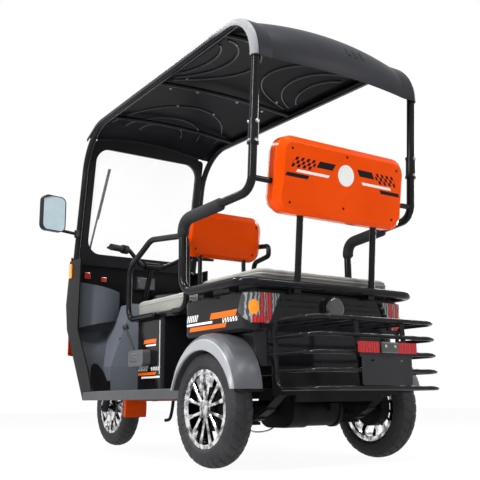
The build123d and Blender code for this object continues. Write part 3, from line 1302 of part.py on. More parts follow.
def side_guard():
    """The tube loop at the driver's left, as places (back from the front axle, z)."""
    places = (
        (GUARD_START_BACK, GUARD_LOW_Z),
        (GUARD_FRONT_BACK, GUARD_LOW_Z),
        (GUARD_FRONT_BACK, GUARD_KNEE_Z),
        (GUARD_TOP_BACK, GUARD_TOP_Z),
        (GUARD_REAR_BACK, GUARD_REAR_Z),
        (GUARD_REAR_BACK, GUARD_LOW_Z),
        (GUARD_END_BACK, GUARD_LOW_Z),
    )
    points = [(GUARD_X, back - WHEELBASE, z) for back, z in places]
    guard = tube(points, [52, 70, 110, 60, 52], GUARD_RADIUS)
    for back in (GUARD_START_BACK, GUARD_END_BACK):
        y = back - WHEELBASE
        guard += rod((GUARD_X, y, GUARD_LOW_Z), (DRIVER_SEAT_HALF - 6, y, GUARD_LOW_Z), GUARD_RADIUS - 4)
        guard += Pos(GUARD_X, y, GUARD_LOW_Z) * Sphere(GUARD_RADIUS)
    return guard


def arm_rest():
    """The hairpin at the driver's right, from the pan up and forward."""
    places = (
        (REST_FOOT_BACK, GUARD_LOW_Z),
        (REST_KNEE_BACK, REST_KNEE_Z),
        (REST_TIP_BACK, REST_LOW_Z),
        (REST_TIP_BACK, REST_HIGH_Z),
        (REST_END_BACK, REST_END_Z),
    )
    points = [(-GUARD_X, back - WHEELBASE, z) for back, z in places]
    rest = tube(points, [30, 20, 20], GUARD_RADIUS - 2)
    rest += rod(points[0], (-DRIVER_SEAT_HALF + 6, *points[0][1:]), GUARD_RADIUS - 4)
    for end in (points[0], points[-1]):
        rest += Pos(*end) * Sphere(GUARD_RADIUS - 2)
    return rest


def driver_seat_pan():
    middle = (DRIVER_SEAT_REAR_Y + DRIVER_SEAT_FRONT_Y) / 2
    face = RectangleRounded(2 * DRIVER_SEAT_HALF, DRIVER_SEAT_LENGTH, CUSHION_CORNER)
    pan = extrude(Pos(0, middle, PAN_BOTTOM_Z) * face, amount=DRIVER_PAN_THICKNESS)
    return pan + side_guard() + arm_rest() + driver_posts()


save("driver_seat_box", driver_seat_box())
save("driver_seat_frame", driver_seat_pan())
driver_y = (DRIVER_SEAT_FRONT_Y, DRIVER_SEAT_REAR_Y)
save("driver_cushion", cushion(DRIVER_SEAT_HALF, driver_y, (PAN_TOP_Z + SEAT_GAP, DRIVER_SEAT_TOP_Z)))
save("driver_back_shell", driver_shell - driver_posts())
save("driver_back_pad", driver_pad - driver_posts())


# Rear lamps and rack
def tail_lamps():
    """Lenses wrapped round the rear corners, and the two reflectors above the plate."""
    middle_y = (BODY_REAR_Y + BODY_FRONT_Y) / 2
    y_length = BODY_REAR_Y - BODY_FRONT_Y
    band = Sketch()
    for grown in (LAMP_DEPTH, SEAT_GAP):
        size = (2 * (BODY_HALF_WIDTH + grown), y_length + 2 * grown, BODY_CORNER + grown)
        ring = RectangleRounded(*size)
        band = ring if grown == LAMP_DEPTH else band - ring
    height = BODY_TOP_Z - BODY_SHELF_Z
    lens = extrude(Pos(0, middle_y, BODY_SHELF_Z) * band, amount=height)
    rear_view = Plane.XZ * make_face(Polyline(*LAMP_REAR_OUTLINE, close=True))
    lens &= Pos(0, BODY_REAR_Y + y_length, 0) * extrude(rear_view, amount=2 * y_length)
    lens &= side_prism(LAMP_SIDE_OUTLINE, (0, LAMP_REAR_OUTLINE[1][0]))
    reflector = block(REFLECTOR_X, (PLATE_FACE_Y + SEAT_GAP, PLATE_FACE_Y + REFLECTOR_DEPTH), REFLECTOR_Z)
    return Compound([*both(lens).solids(), *both(reflector).solids()])


def centre_lamp():
    """The round lamp on the rear wall, and the small lamp over the plate."""
    foot = (0, BODY_REAR_Y + SEAT_GAP, CENTRE_LAMP_Z)
    lamp = rod(foot, (0, BODY_REAR_Y + CENTRE_LAMP_DEPTH, CENTRE_LAMP_Z), CENTRE_LAMP_RADIUS)
    lamp = fillet(lamp.edges().sort_by(Axis.Y)[-1], CENTRE_LAMP_EDGE)
    half = REFLECTOR_X[0] - 4
    plate_y = (PLATE_FACE_Y + SEAT_GAP, PLATE_FACE_Y + 2 * REFLECTOR_DEPTH)
    plate_lamp = block((-half, half), plate_y, REFLECTOR_Z)
    plate_lamp = chamfer(plate_lamp.edges().group_by(Axis.Y)[-1], REFLECTOR_DEPTH / 2)
    return Compound([*lamp.solids(), *plate_lamp.solids()])


def rack_bar(row):
    side = RACK_SIDE_X + row * RACK_SIDE_STEP
    rear = RACK_REAR_Y + row * RACK_REAR_STEP
    z = RACK_TOP_Z - row * RACK_PITCH
    points = [(-side, RACK_FRONT_Y, z), (-side, rear, z), (side, rear, z), (side, RACK_FRONT_Y, z)]
    return tube(points, RACK_CORNER, RACK_BAR_RADIUS)


def rack_loop(row, to_z):
    """The top or bottom bar, bent at its front ends towards the uprights' middle."""
    side = RACK_SIDE_X + row * RACK_SIDE_STEP
    rear = RACK_REAR_Y + row * RACK_REAR_STEP
    z = RACK_TOP_Z - row * RACK_PITCH
    left = [(side, rear, z), (side, RACK_FRONT_Y, z), (RACK_MIDDLE_X, RACK_FRONT_Y, to_z)]
    right = [(-x, y, z) for x, y, z in reversed(left)]
    bends = [RACK_LOOP_BEND, RACK_CORNER, RACK_CORNER, RACK_LOOP_BEND]
    return tube(right + left, bends, RACK_BAR_RADIUS)


def rear_rack():
    collar_radius = RACK_BAR_RADIUS + 2
    collar_ends = [(RACK_MIDDLE_X, RACK_FRONT_Y, RACK_MIDDLE_Z + side * RACK_COLLAR) for side in (-1, 1)]
    half = rod(*collar_ends, collar_radius)
    stub_x = RACK_MIDDLE_X - 2
    for z, radius in ((RACK_MIDDLE_Z, collar_radius - 1), (RACK_TOP_Z - 2 * RACK_LOOP_BEND, collar_radius)):
        half += rod((stub_x, BODY_REAR_Y + SEAT_GAP, z), (stub_x, RACK_FRONT_Y, z), radius)
    bottom_z = RACK_TOP_Z - RACK_LAST * RACK_PITCH
    top_y = RACK_REAR_Y - RACK_BAR_RADIUS - 1
    low_y = top_y + RACK_LAST * RACK_REAR_STEP
    outline = [
        (top_y, RACK_TOP_Z + 4),
        (top_y + STRAP_THICKNESS, RACK_TOP_Z + 4),
        (low_y + STRAP_THICKNESS, bottom_z - 4),
        (low_y, bottom_z - 4),
    ]
    half += side_prism(outline, (STRAP_X - STRAP_WIDTH / 2, STRAP_X + STRAP_WIDTH / 2))
    rack = half + mirrored(half)
    rack += rack_loop(0, RACK_MIDDLE_Z + 1) + rack_loop(RACK_LAST, RACK_MIDDLE_Z - 1)
    for row in range(1, RACK_LAST):
        rack += rack_bar(row)
    slat_pitch = (2 * RACK_SIDE_X - 80) / RACK_SLATS
    for slat in range(RACK_SLATS):
        x = (slat - (RACK_SLATS - 1) / 2) * slat_pitch
        ends = ((x, BODY_REAR_Y + SEAT_GAP, RACK_TOP_Z), (x, RACK_REAR_Y, RACK_TOP_Z))
        rack += rod(*ends, RACK_BAR_RADIUS - 2)
    return rack


def plate_holder():
    """A blank plate with two slots, and the tab above it that carries the small lamps."""
    plate = Pos(0, PLATE_MIDDLE_Z) * RectangleRounded(PLATE_WIDTH, PLATE_HEIGHT, 8)
    tab_low = PLATE_MIDDLE_Z + PLATE_HEIGHT / 2 - 8
    tab_height = REFLECTOR_Z[1] - tab_low
    plate += Pos(0, tab_low + tab_height / 2) * Rectangle(2 * REFLECTOR_X[1] - 20, tab_height)
    holder = Pos(0, PLATE_FACE_Y, 0) * extrude(Plane.XZ * plate, amount=PLATE_THICKNESS)
    slot = Plane.XZ * SlotOverall(PLATE_SLOT_LENGTH, PLATE_SLOT_WIDTH)
    for side in (-1, 1):
        x = side * PLATE_SLOT_SPACING / 2
        at = Pos(x, PLATE_FACE_Y + 1, PLATE_MIDDLE_Z + PLATE_SLOT_UP)
        holder -= at * extrude(slot, amount=PLATE_THICKNESS + 2)
    return holder


save("tail_lamps", tail_lamps())
save("centre_lamp", centre_lamp())
save("rear_rack", rear_rack())
save("plate_holder", plate_holder())


# Mirrors on the pillars
def mirror_plane():
    place = (MIRROR_X, MIRROR_Y, MIRROR_Z)
    return Plane(origin=place, x_dir=(-1, 0, 0), z_dir=(0, 1, 0)).rotated((0, 0, MIRROR_TURN))


def mirror_seat(pillar):
    """The stretch of pillar that the bracket clamps, with its fit."""
    low, high = pillar.Z - 60, pillar.Z + 60
    return rod(on_hoop(pillar_y(low), low), on_hoop(pillar_y(high), high), TUBE_RADIUS + SEAT_GAP)


def mirror_housing():
    face = mirror_plane() * RectangleRounded(MIRROR_WIDTH, MIRROR_HEIGHT, MIRROR_CORNER)
    shell = extrude(face, amount=-MIRROR_DEPTH)
    shell = fillet(shell.faces().sort_by(Axis.Y)[0].edges(), MIRROR_EDGE)
    pocket = RectangleRounded(MIRROR_WIDTH - 8, MIRROR_HEIGHT - 8, MIRROR_CORNER - 4)
    shell -= extrude(mirror_plane() * pocket, amount=-MIRROR_POCKET)
    arm_z = MIRROR_Z - MIRROR_HEIGHT / 2 + MIRROR_EDGE
    pillar = Vector(*on_hoop(pillar_y(arm_z - 12), arm_z - 12))
    arm_end = Vector(MIRROR_X - 30, MIRROR_Y - MIRROR_DEPTH * 0.64, arm_z)
    shell += rod(pillar + Vector(TUBE_RADIUS + 8, 0, 0), arm_end, 8)
    clamp = rod(pillar - Vector(0, 0, 18), pillar + Vector(0, 0, 18), TUBE_RADIUS + 9)
    outside = Pos(pillar.X + 4 + 50, pillar.Y, pillar.Z) * Box(100, 100, 100)
    return shell + (clamp & outside) - mirror_seat(pillar)


def mirror_glass():
    pane = RectangleRounded(MIRROR_WIDTH - 9, MIRROR_HEIGHT - 9, MIRROR_CORNER - 5)
    return extrude(mirror_plane() * Pos(0, 0, -MIRROR_POCKET + SEAT_GAP) * pane, amount=4)


save("mirror_housings", both(mirror_housing()))
save("mirror_glasses", both(mirror_glass()))


# Wiper and parking brake lever
def wiper():
    """Motor boss at the foot of the screen frame, arm and blade in front of the glass."""
    spot = Pos(WIPER_X, SCREEN_SILL / 2, SCREEN_DEPTH / 2 + SEAT_GAP)
    pivot = screen_plane() * spot * Rot(0, 0, WIPER_LEAN)
    boss = extrude(Circle(WIPER_BOSS_RADIUS), amount=WIPER_BOSS_DEPTH)
    arm = Pos(0, WIPER_LENGTH / 2, WIPER_BOSS_DEPTH / 2) * Box(9, WIPER_LENGTH, 6)
    blade = Pos(0, WIPER_LENGTH, 2) * Box(12, WIPER_BLADE, 12)
    return pivot * (boss + arm + blade)


def parking_brake():
    """A ratchet box on the seat box's left side, with a ball-ended lever."""
    side = DRIVER_BOX_HALF + SEAT_GAP
    front_y = BRAKE_BOX_FRONT_BACK - WHEELBASE
    box = block((side, side + BRAKE_BOX_WIDTH), (front_y, front_y + BRAKE_BOX_LENGTH), BRAKE_BOX_Z)
    box = fillet(box.edges().filter_by(Axis.X), BRAKE_BOX_CORNER)
    middle = side + BRAKE_BOX_WIDTH / 2
    pivot = (middle, BRAKE_LEVER_BACK - WHEELBASE, BRAKE_LEVER_Z)
    knob = (middle, BRAKE_KNOB_BACK - WHEELBASE, BRAKE_KNOB_Z)
    return box + rod(pivot, knob, BRAKE_LEVER_RADIUS) + Pos(*knob) * Sphere(BRAKE_KNOB_RADIUS)


save("wiper", wiper())
save("parking_brake", parking_brake())
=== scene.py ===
import math

import bmesh
import bpy
from mathutils import Matrix, Vector
from mathutils.bvhtree import BVHTree


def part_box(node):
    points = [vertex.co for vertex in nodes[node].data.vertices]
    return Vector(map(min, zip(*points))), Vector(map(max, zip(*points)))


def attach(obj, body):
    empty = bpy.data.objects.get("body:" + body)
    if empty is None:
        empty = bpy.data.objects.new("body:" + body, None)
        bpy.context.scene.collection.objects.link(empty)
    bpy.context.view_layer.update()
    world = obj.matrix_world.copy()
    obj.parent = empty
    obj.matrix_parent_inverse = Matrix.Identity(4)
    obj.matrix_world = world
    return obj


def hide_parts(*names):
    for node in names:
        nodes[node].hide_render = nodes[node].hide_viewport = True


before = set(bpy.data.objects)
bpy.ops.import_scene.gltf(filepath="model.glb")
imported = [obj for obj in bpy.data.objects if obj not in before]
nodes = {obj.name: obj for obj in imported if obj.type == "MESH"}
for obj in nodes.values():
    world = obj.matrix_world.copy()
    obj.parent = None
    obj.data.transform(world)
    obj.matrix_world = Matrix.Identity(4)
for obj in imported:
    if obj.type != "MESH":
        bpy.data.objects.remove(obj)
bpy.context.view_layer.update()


# The road tyres are moulded rubber on ten-inch rims: round shoulders, a ring round each
# sidewall and slanted grooves that meet in the middle of the tread. One pitch of the tread
# is a small mesh, and Geometry Nodes repeat it round the wheel.
class Value:
    """A socket of a finish. Sums and products of values add Math nodes."""

    def __init__(self, finish, socket):
        self.finish = finish
        self.socket = socket

    def maths(self, operation, first, second):
        return self.finish.node("ShaderNodeMath", {"operation": operation}, {0: first, 1: second})

    def __add__(self, other):
        return self.maths("ADD", self, other)

    def __sub__(self, other):
        return self.maths("SUBTRACT", self, other)

    def __rsub__(self, other):
        return self.maths("SUBTRACT", other, self)

    def __mul__(self, other):
        return self.maths("MULTIPLY", self, other)

    def __truediv__(self, other):
        return self.maths("DIVIDE", self, other)

    def __mod__(self, other):
        return self.maths("FLOORED_MODULO", self, other)

    def __gt__(self, other):
        return self.maths("GREATER_THAN", self, other)

    def __lt__(self, other):
        return self.maths("LESS_THAN", self, other)

    def __abs__(self):
        return self.maths("ABSOLUTE", self, 0.0)

    def whole(self):
        return self.maths("FLOOR", self, 0.0)

    def between(self, low, high):
        """1 from low to high, 0 elsewhere."""
        return (self > low) * (self < high)

    def either(self, other):
        return self.maths("MAXIMUM", self, other)

    __radd__ = __add__
    __rmul__ = __mul__


class Finish:
    """A procedural material. node() adds one node, with its settings first, then its sockets."""

    def __init__(self, name):
        self.material = bpy.data.materials.new(name)
        self.material.use_nodes = True
        self.tree = self.material.node_tree
        self.shader = self.tree.nodes["Principled BSDF"]
        self.where = self.node("ShaderNodeTexCoord", output="Object")

    def node(self, kind, settings=None, sockets=None, output=0):
        made = self.tree.nodes.new(kind)
        for name, setting in (settings or {}).items():
            if name == "stops":
                self.set_stops(made.color_ramp, setting)
            else:
                setattr(made, name, setting)
        for name, given in (sockets or {}).items():
            self.join(given, made.inputs[name])
        return Value(self, made.outputs[output])

    @staticmethod
    def set_stops(ramp, stops):
        while len(ramp.elements) < len(stops):
            ramp.elements.new(0.5)
        for element, (position, colour) in zip(ramp.elements, stops):
            element.position = position
            element.color = (*colour, 1.0)

    def join(self, given, target):
        if isinstance(given, Value):
            self.tree.links.new(given.socket, target)
        else:
            target.default_value = given

    def axes(self):
        """The place along X, Y and Z, in metres."""
        parts = self.node("ShaderNodeSeparateXYZ", None, {"Vector": self.where})
        outputs = parts.socket.node.outputs
        return [Value(self, outputs[axis]) for axis in "XYZ"]

    def facing_up(self):
        """1 where the surface looks up, -1 where it looks down."""
        facing = self.node("ShaderNodeTexCoord", output="Normal")
        return self.node("ShaderNodeSeparateXYZ", None, {"Vector": facing}, output="Z")

    def noise(self, scale, detail=3.0):
        sockets = {"Vector": self.where, "Scale": scale, "Detail": detail}
        return self.node("ShaderNodeTexNoise", None, sockets)

    def mix(self, share, first, second):
        return self.node("ShaderNodeMix", {"data_type": "RGBA"}, {0: share, 6: first, 7: second}, output=2)

    def ramp(self, value, stops):
        return self.node("ShaderNodeValToRGB", {"stops": stops}, {"Fac": value})

    def bump(self, height, distance, strength=1.0):
        return self.node(
            "ShaderNodeBump", None, {"Height": height, "Distance": distance, "Strength": strength}
        )

    def surface(self, sockets):
        for name, given in sockets.items():
            self.join(given, self.shader.inputs[name])
        return self.material


def rgb(red, green, blue):
    return (red, green, blue, 1.0)


def rubber():
    finish = Finish("tyre_rubber")
    dust = finish.noise(9.0, 5.0)
    grain = finish.noise(900.0, 2.0)
    colour = finish.ramp(dust, [(0.35, (0.010, 0.010, 0.012)), (0.75, (0.024, 0.024, 0.026))])
    return finish.surface({
        "Base Color": colour,
        "Roughness": 0.56 + 0.2 * dust,
        "Specular IOR Level": 0.3,
        "Normal": finish.bump(grain, 0.0006, 0.6),
    })


def loose_object(name, data):
    """An object in the scene that is on no body yet."""
    made = bpy.data.objects.new(name, data)
    bpy.context.scene.collection.objects.link(made)
    return made


def new_piece(name, mesh, finish, body, *stands_for):
    """Puts a finished mesh in the scene on its body, in place of CAD nodes where it names any."""
    piece = loose_object(name, mesh)
    mesh.materials.clear()
    mesh.materials.append(finish)
    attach(piece, body)
    if stands_for:
        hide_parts(*stands_for)
    return piece


def empty_tree(name, inputs):
    """A Geometry Nodes tree with named inputs of these kinds, and the sockets' identifiers."""
    tree = bpy.data.node_groups.new(name, "GeometryNodeTree")
    sockets = {}
    for title, kind in inputs.items():
        socket = tree.interface.new_socket(title, in_out="INPUT", socket_type="NodeSocket" + kind)
        sockets[title] = socket.identifier
    tree.interface.new_socket("Geometry", in_out="OUTPUT", socket_type="NodeSocketGeometry")
    return tree, sockets


def end_with_finish(tree, given, made):
    """Ends a tree: what was made gets the finish among the tree's inputs."""
    paint = tree.nodes.new("GeometryNodeSetMaterial")
    tree.links.new(made, paint.inputs["Geometry"])
    tree.links.new(given.outputs["Finish"], paint.inputs["Material"])
    tree.links.new(paint.outputs[0], tree.nodes.new("NodeGroupOutput").inputs["Geometry"])


def ring_tree():
    """Geometry Nodes: one pitch of a pattern, repeated in a ring about an axis along X."""
    inputs = {"Pitch": "Object", "Count": "Int", "Centre": "Vector", "Finish": "Material"}
    tree, sockets = empty_tree("repeat_in_a_ring", inputs)
    make, link = tree.nodes.new, tree.links.new
    given = make("NodeGroupInput")
    line = make("GeometryNodeMeshLine")
    line.inputs["Offset"].default_value = (0, 0, 0)
    link(given.outputs["Count"], line.inputs["Count"])
    link(given.outputs["Centre"], line.inputs["Start Location"])
    pitch = make("GeometryNodeObjectInfo")
    link(given.outputs["Pitch"], pitch.inputs["Object"])
    share = make("ShaderNodeMath")
    share.operation = "DIVIDE"
    link(make("GeometryNodeInputIndex").outputs[0], share.inputs[0])
    link(given.outputs["Count"], share.inputs[1])
    turn = make("ShaderNodeMath")
    turn.operation = "MULTIPLY"
    turn.inputs[1].default_value = math.tau
    link(share.outputs[0], turn.inputs[0])
    rotation = make("ShaderNodeCombineXYZ")
    link(turn.outputs[0], rotation.inputs["X"])
    instances = make("GeometryNodeInstanceOnPoints")
    link(line.outputs["Mesh"], instances.inputs["Points"])
    link(pitch.outputs["Geometry"], instances.inputs["Instance"])
    link(rotation.outputs[0], instances.inputs["Rotation"])
    realize = make("GeometryNodeRealizeInstances")
    link(instances.outputs[0], realize.inputs[0])
    merge = make("GeometryNodeMergeByDistance")
    merge.inputs["Distance"].default_value = 0.0001
    link(realize.outputs[0], merge.inputs["Geometry"])
    smooth = make("GeometryNodeSetShadeSmooth")
    link(merge.outputs[0], smooth.inputs["Geometry"])
    end_with_finish(tree, given, smooth.outputs[0])
    return tree, sockets


def finished_mesh(piece):
    """The piece's mesh with its modifiers applied. The piece itself is removed."""
    evaluated = piece.evaluated_get(bpy.context.evaluated_depsgraph_get())
    mesh = bpy.data.meshes.new_from_object(evaluated)
    bpy.data.objects.remove(piece)
    return mesh


def baked_by_nodes(tree, sockets, values, base=None):
    """Runs a Geometry Nodes tree with these inputs and gives its result as a plain mesh."""
    carrier = loose_object("carrier", base or bpy.data.meshes.new("carrier"))
    modifier = carrier.modifiers.new("nodes", "NODES")
    modifier.node_group = tree
    for name, value in values.items():
        modifier[sockets[name]] = value
    return finished_mesh(carrier)


TREAD_PITCHES = 32
TREAD_COLUMNS = 12
TREAD_HALF = 0.036
GROOVE_DEPTH = 0.0035
GROOVE_HALF = 0.10
tyre_low, tyre_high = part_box("front_tyre")
TYRE_RADIUS = (tyre_high.z - tyre_low.z) / 2
TYRE_HALF = (tyre_high.x - tyre_low.x) / 2


def tyre_profile():
    """Half the tyre's section as (across, radius), from bead to the middle of the tread."""
    bead = [(0.0325, 0.1275), (0.034, 0.1385), (0.040, 0.1425)]
    bead += [(0.0435, 0.150), (0.0452, 0.1515), (0.0447, 0.154)]
    belly = [(TYRE_HALF, 0.163), (TYRE_HALF - 0.0005, 0.172), (TYRE_HALF - 0.003, 0.181)]
    shoulder = [(TYRE_HALF - 0.0055, 0.187), (TYRE_HALF - 0.009, 0.1925)]
    steps = 9
    crown = []
    for step in range(steps):
        across = TREAD_HALF * (1 - step / (steps - 1))
        crown.append((across, TYRE_RADIUS - 0.0095 * (across / TREAD_HALF) ** 2.3))
    return bead + belly + shoulder + crown


def groove(across, along):
    """How deep the tread is cut at a place: slanted grooves and one line round the middle."""
    reach = abs(across) / (TREAD_HALF + 0.006)
    if reach > 1.08:
        return 0.0
    away = (along - 0.25 - 0.62 * reach + (0.5 if across < 0 else 0.0) + 0.5) % 1.0 - 0.5
    slant = max(0.0, 1 - (away / GROOVE_HALF) ** 4) if reach > 0.16 else 0.0
    middle = max(0.0, 1 - (across / 0.0022) ** 4)
    return GROOVE_DEPTH * max(slant, middle)


def outward_mesh(name, shape):
    """A plain mesh from a bmesh that is done, with its faces looking outwards."""
    bmesh.ops.recalc_face_normals(shape, faces=shape.faces)
    mesh = bpy.data.meshes.new(name)
    shape.to_mesh(mesh)
    shape.free()
    return mesh


def tread_pitch():
    """One pitch of the tyre about X, from bead to bead."""
    half = tyre_profile()
    section = half + [(-across, radius) for across, radius in reversed(half[:-1])]
    mesh = bmesh.new()
    columns = []
    for column in range(TREAD_COLUMNS + 1):
        along = column / TREAD_COLUMNS
        angle = math.tau / TREAD_PITCHES * along
        ring = []
        for across, radius in section:
            cut = radius - groove(across, along)
            ring.append(mesh.verts.new((across, -cut * math.sin(angle), cut * math.cos(angle))))
        columns.append(ring)
    for first, second in zip(columns, columns[1:]):
        for low in range(len(section) - 1):
            mesh.faces.new((first[low], second[low], second[low + 1], first[low + 1]))
        mesh.faces.new((first[-1], second[-1], second[0], first[0]))
    return outward_mesh("tread_pitch", mesh)


tyre_finish = rubber()
pitch_object = loose_object("tread_pitch", tread_pitch())
repeat_in_a_ring, ring_sockets = ring_tree()
WHEELS = ("front", "rear_left", "rear_right")
for wheel in WHEELS:
    tyre_node = wheel + "_tyre"
    low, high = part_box(tyre_node)
    tyre_mesh = baked_by_nodes(repeat_in_a_ring, ring_sockets, {
        "Pitch": pitch_object, "Count": TREAD_PITCHES, "Centre": (low + high) / 2, "Finish": tyre_finish,
    })
    tidy = bmesh.new()
    tidy.from_mesh(tyre_mesh)
    bmesh.ops.recalc_face_normals(tidy, faces=tidy.faces)
    tidy.to_mesh(tyre_mesh)
    tidy.free()
    road_tyre = new_piece("road_" + tyre_node, tyre_mesh, tyre_finish, wheel + "_wheel", tyre_node)
bpy.data.objects.remove(pitch_object)


# The wheels are cast and chromed, with slender arms in pairs. The chrome is bright, with dark
# and pale patches painted on its faces as reflections. Four zinc-plated nuts on either side hold
# each wheel on its hub.
def chrome():
    finish = Finish("chrome_rim")
    # Painted reflections: noise spreads the chrome's colour from dark grey to near white.
    painted_reflection = finish.noise(34.0, 2.0)
    stops = [(0.38, (0.13, 0.13, 0.135)), (0.50, (0.50, 0.50, 0.51)), (0.60, (0.84, 0.84, 0.85))]
    colour = finish.ramp(painted_reflection, stops)
    return finish.surface({"Base Color": colour, "Metallic": 1.0, "Roughness": 0.05 + 0.10 * painted_reflection})


def paint_node(node, finish):
    """Gives a CAD node its finish."""
    mesh = nodes[node].data
    mesh.materials.clear()
    mesh.materials.append(finish)


surface_trees = {}


def on_surface(node, start, direction):
    """Where a line from start first meets a CAD node, and the way its face looks there."""
    if node not in surface_trees:
        mesh = nodes[node].data
        faces = [face.vertices for face in mesh.polygons]
        surface_trees[node] = BVHTree.FromPolygons([vertex.co for vertex in mesh.vertices], faces)
    place, facing, _, _ = surface_trees[node].ray_cast(Vector(start), Vector(direction))
    if place is None:
        raise ValueError(f"a line from {tuple(start)} misses {node}")
    return place, facing


def turned(name, profile, sides):
    """A small turned part about Z, a closed skin through rings of (radius, height)."""
    mesh = bmesh.new()
    rings = []
    for radius, height in profile:
        turns = [math.tau * side / sides for side in range(sides if radius else 1)]
        places = [(radius * math.cos(turn), radius * math.sin(turn), height) for turn in turns]
        rings.append([mesh.verts.new(place) for place in places])
    for upper, lower in zip(rings, rings[1:]):
        for side in range(sides):
            after = (side + 1) % sides
            corners = [upper[side % len(upper)], lower[side % len(lower)]]
            corners += [lower[after % len(lower)], upper[after % len(upper)]]
            mesh.faces.new(list(dict.fromkeys(corners)))
    return outward_mesh(name, mesh)


def points_tree():
    """Geometry Nodes: one small part set on every point, turned to the way the point faces."""
    inputs = {"Geometry": "Geometry", "Part": "Object", "Finish": "Material"}
    tree, sockets = empty_tree("set_on_points", inputs)
    make, link = tree.nodes.new, tree.links.new
    given = make("NodeGroupInput")
    part = make("GeometryNodeObjectInfo")
    link(given.outputs["Part"], part.inputs["Object"])
    facing = make("GeometryNodeInputNamedAttribute")
    facing.data_type = "FLOAT_VECTOR"
    facing.inputs["Name"].default_value = "facing"
    align = make("FunctionNodeAlignRotationToVector")
    align.axis = "Z"
    link(facing.outputs["Attribute"], align.inputs["Vector"])
    instances = make("GeometryNodeInstanceOnPoints")
    link(given.outputs["Geometry"], instances.inputs["Points"])
    link(part.outputs["Geometry"], instances.inputs["Instance"])
    link(align.outputs["Rotation"], instances.inputs["Rotation"])
    realize = make("GeometryNodeRealizeInstances")
    link(instances.outputs[0], realize.inputs[0])
    end_with_finish(tree, given, realize.outputs[0])
    return tree, sockets


set_on_points, points_sockets = points_tree()


def set_parts(name, part, spots, finish, body):
    """Sets a small part on each spot, a place with the way it faces, as one piece."""
    base = bpy.data.meshes.new(name + "_spots")
    base.from_pydata([place for place, _ in spots], [], [])
    facing = base.attributes.new("facing", "FLOAT_VECTOR", "POINT")
    for entry, (_, way) in zip(facing.data, spots):
        entry.vector = way
    sample = loose_object(name + "_sample", part)
    mesh = baked_by_nodes(set_on_points, points_sockets, {"Part": sample, "Finish": finish}, base)
    bpy.data.objects.remove(sample)
    new_piece(name, mesh, finish, body)


def bare_metal(name, dark, pale):
    finish = Finish(name)
    wear = finish.noise(60.0, 3.0)
    return finish.surface({
        "Base Color": finish.ramp(wear, [(0.3, dark), (0.7, pale)]),
        "Metallic": 1.0,
        "Roughness": 0.22 + 0.2 * wear,
    })


chrome_finish = chrome()
zinc_finish = bare_metal("zinc_plate", (0.34, 0.34, 0.35), (0.52, 0.52, 0.53))
NUT_PROFILE = [
    (0, 0.009), (0.0055, 0.009), (0.0072, 0.0075), (0.0072, 0.0015), (0.0098, 0.0012), (0.0098, -0.002),
    (0, -0.002),
]
hub_nut = turned("hub_nut", NUT_PROFILE, 6)
NUT_CIRCLE = 0.026
NUTS = 4
CLEAR_OF_WHEEL = 0.3
for wheel in WHEELS:
    rim_node = wheel + "_rim"
    paint_node(rim_node, chrome_finish)
    low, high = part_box(rim_node)
    middle = (low + high) / 2
    nut_spots = []
    for side in (1, -1):
        for nut in range(NUTS):
            turn = math.tau * (nut + 0.5) / NUTS
            off_middle = (CLEAR_OF_WHEEL * side, NUT_CIRCLE * math.cos(turn), NUT_CIRCLE * math.sin(turn))
            start = middle + Vector(off_middle)
            nut_spots.append(on_surface(rim_node, start, (-side, 0, 0)))
    set_parts(wheel + "_hub_nuts", hub_nut, nut_spots, zinc_finish, wheel + "_wheel")


# The fork, the handlebar, the canopy's hoops, both seat frames and the rear rack are bent steel
# tubes in gloss black powder coat, with a faint orange peel and a little dust. Zinc bolts hold
# the hoops' sleeves and the roof's sheet.
def black_coat():
    finish = Finish("black_coat")
    peel = finish.noise(260.0, 2.0)
    dust = finish.noise(6.0, 4.0)
    colour = finish.ramp(dust, [(0.35, (0.004, 0.004, 0.005)), (0.75, (0.009, 0.009, 0.011))])
    return finish.surface({
        "Base Color": colour,
        "Roughness": 0.10 + 0.10 * dust,
        "Specular IOR Level": 0.15,
        "Normal": finish.bump(peel, 0.0004, 0.2),
    })


tube_finish = black_coat()
TUBE_NODES = ("front_fork", "handlebar", "canopy_frame", "bench_frame", "driver_seat_frame", "rear_rack")
for tube_node in TUBE_NODES:
    paint_node(tube_node, tube_finish)

axle_y = sum(corner.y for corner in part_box("rear_left_tyre")) / 2


def at(across, behind, up):
    """A place by its distance behind the rear axle, which is below zero ahead of it."""
    return Vector((across, axle_y + behind, up))


BOLT_PROFILE = [
    (0, 0.0048), (0.0042, 0.0048), (0.0052, 0.004), (0.0052, 0.001), (0.0078, 0.0008), (0.0078, -0.0015),
    (0, -0.0015),
]
hex_bolt = turned("hex_bolt", BOLT_PROFILE, 6)
SLEEVE_BOLTS_UP = (1.131, 1.201)
ROOF_BOLT_PLACES = ((0.255, -0.438), (0.264, -0.571), (0.114, -0.575), (0.106, -0.776))
BELOW_ROOF = 1.3
POST_MIDDLE = (0.40, 0.268)
sleeve_spots = []
roof_spots = []
for side in (1, -1):
    for up in SLEEVE_BOLTS_UP:
        sleeve_spots.append(on_surface("canopy_frame", at(POST_MIDDLE[0] * side, 0.6, up), (0, -1, 0)))
        start = at(0.60 * side, POST_MIDDLE[1], up)
        sleeve_spots.append(on_surface("canopy_frame", start, (-side, 0, 0)))
    for across, behind in ROOF_BOLT_PLACES:
        roof_spots.append(on_surface("roof_panel", at(across * side, behind, BELOW_ROOF), (0, 0, 1)))
set_parts("sleeve_bolts", hex_bolt, sleeve_spots, zinc_finish, "chassis")
set_parts("roof_bolts", hex_bolt, roof_spots, zinc_finish, "chassis")


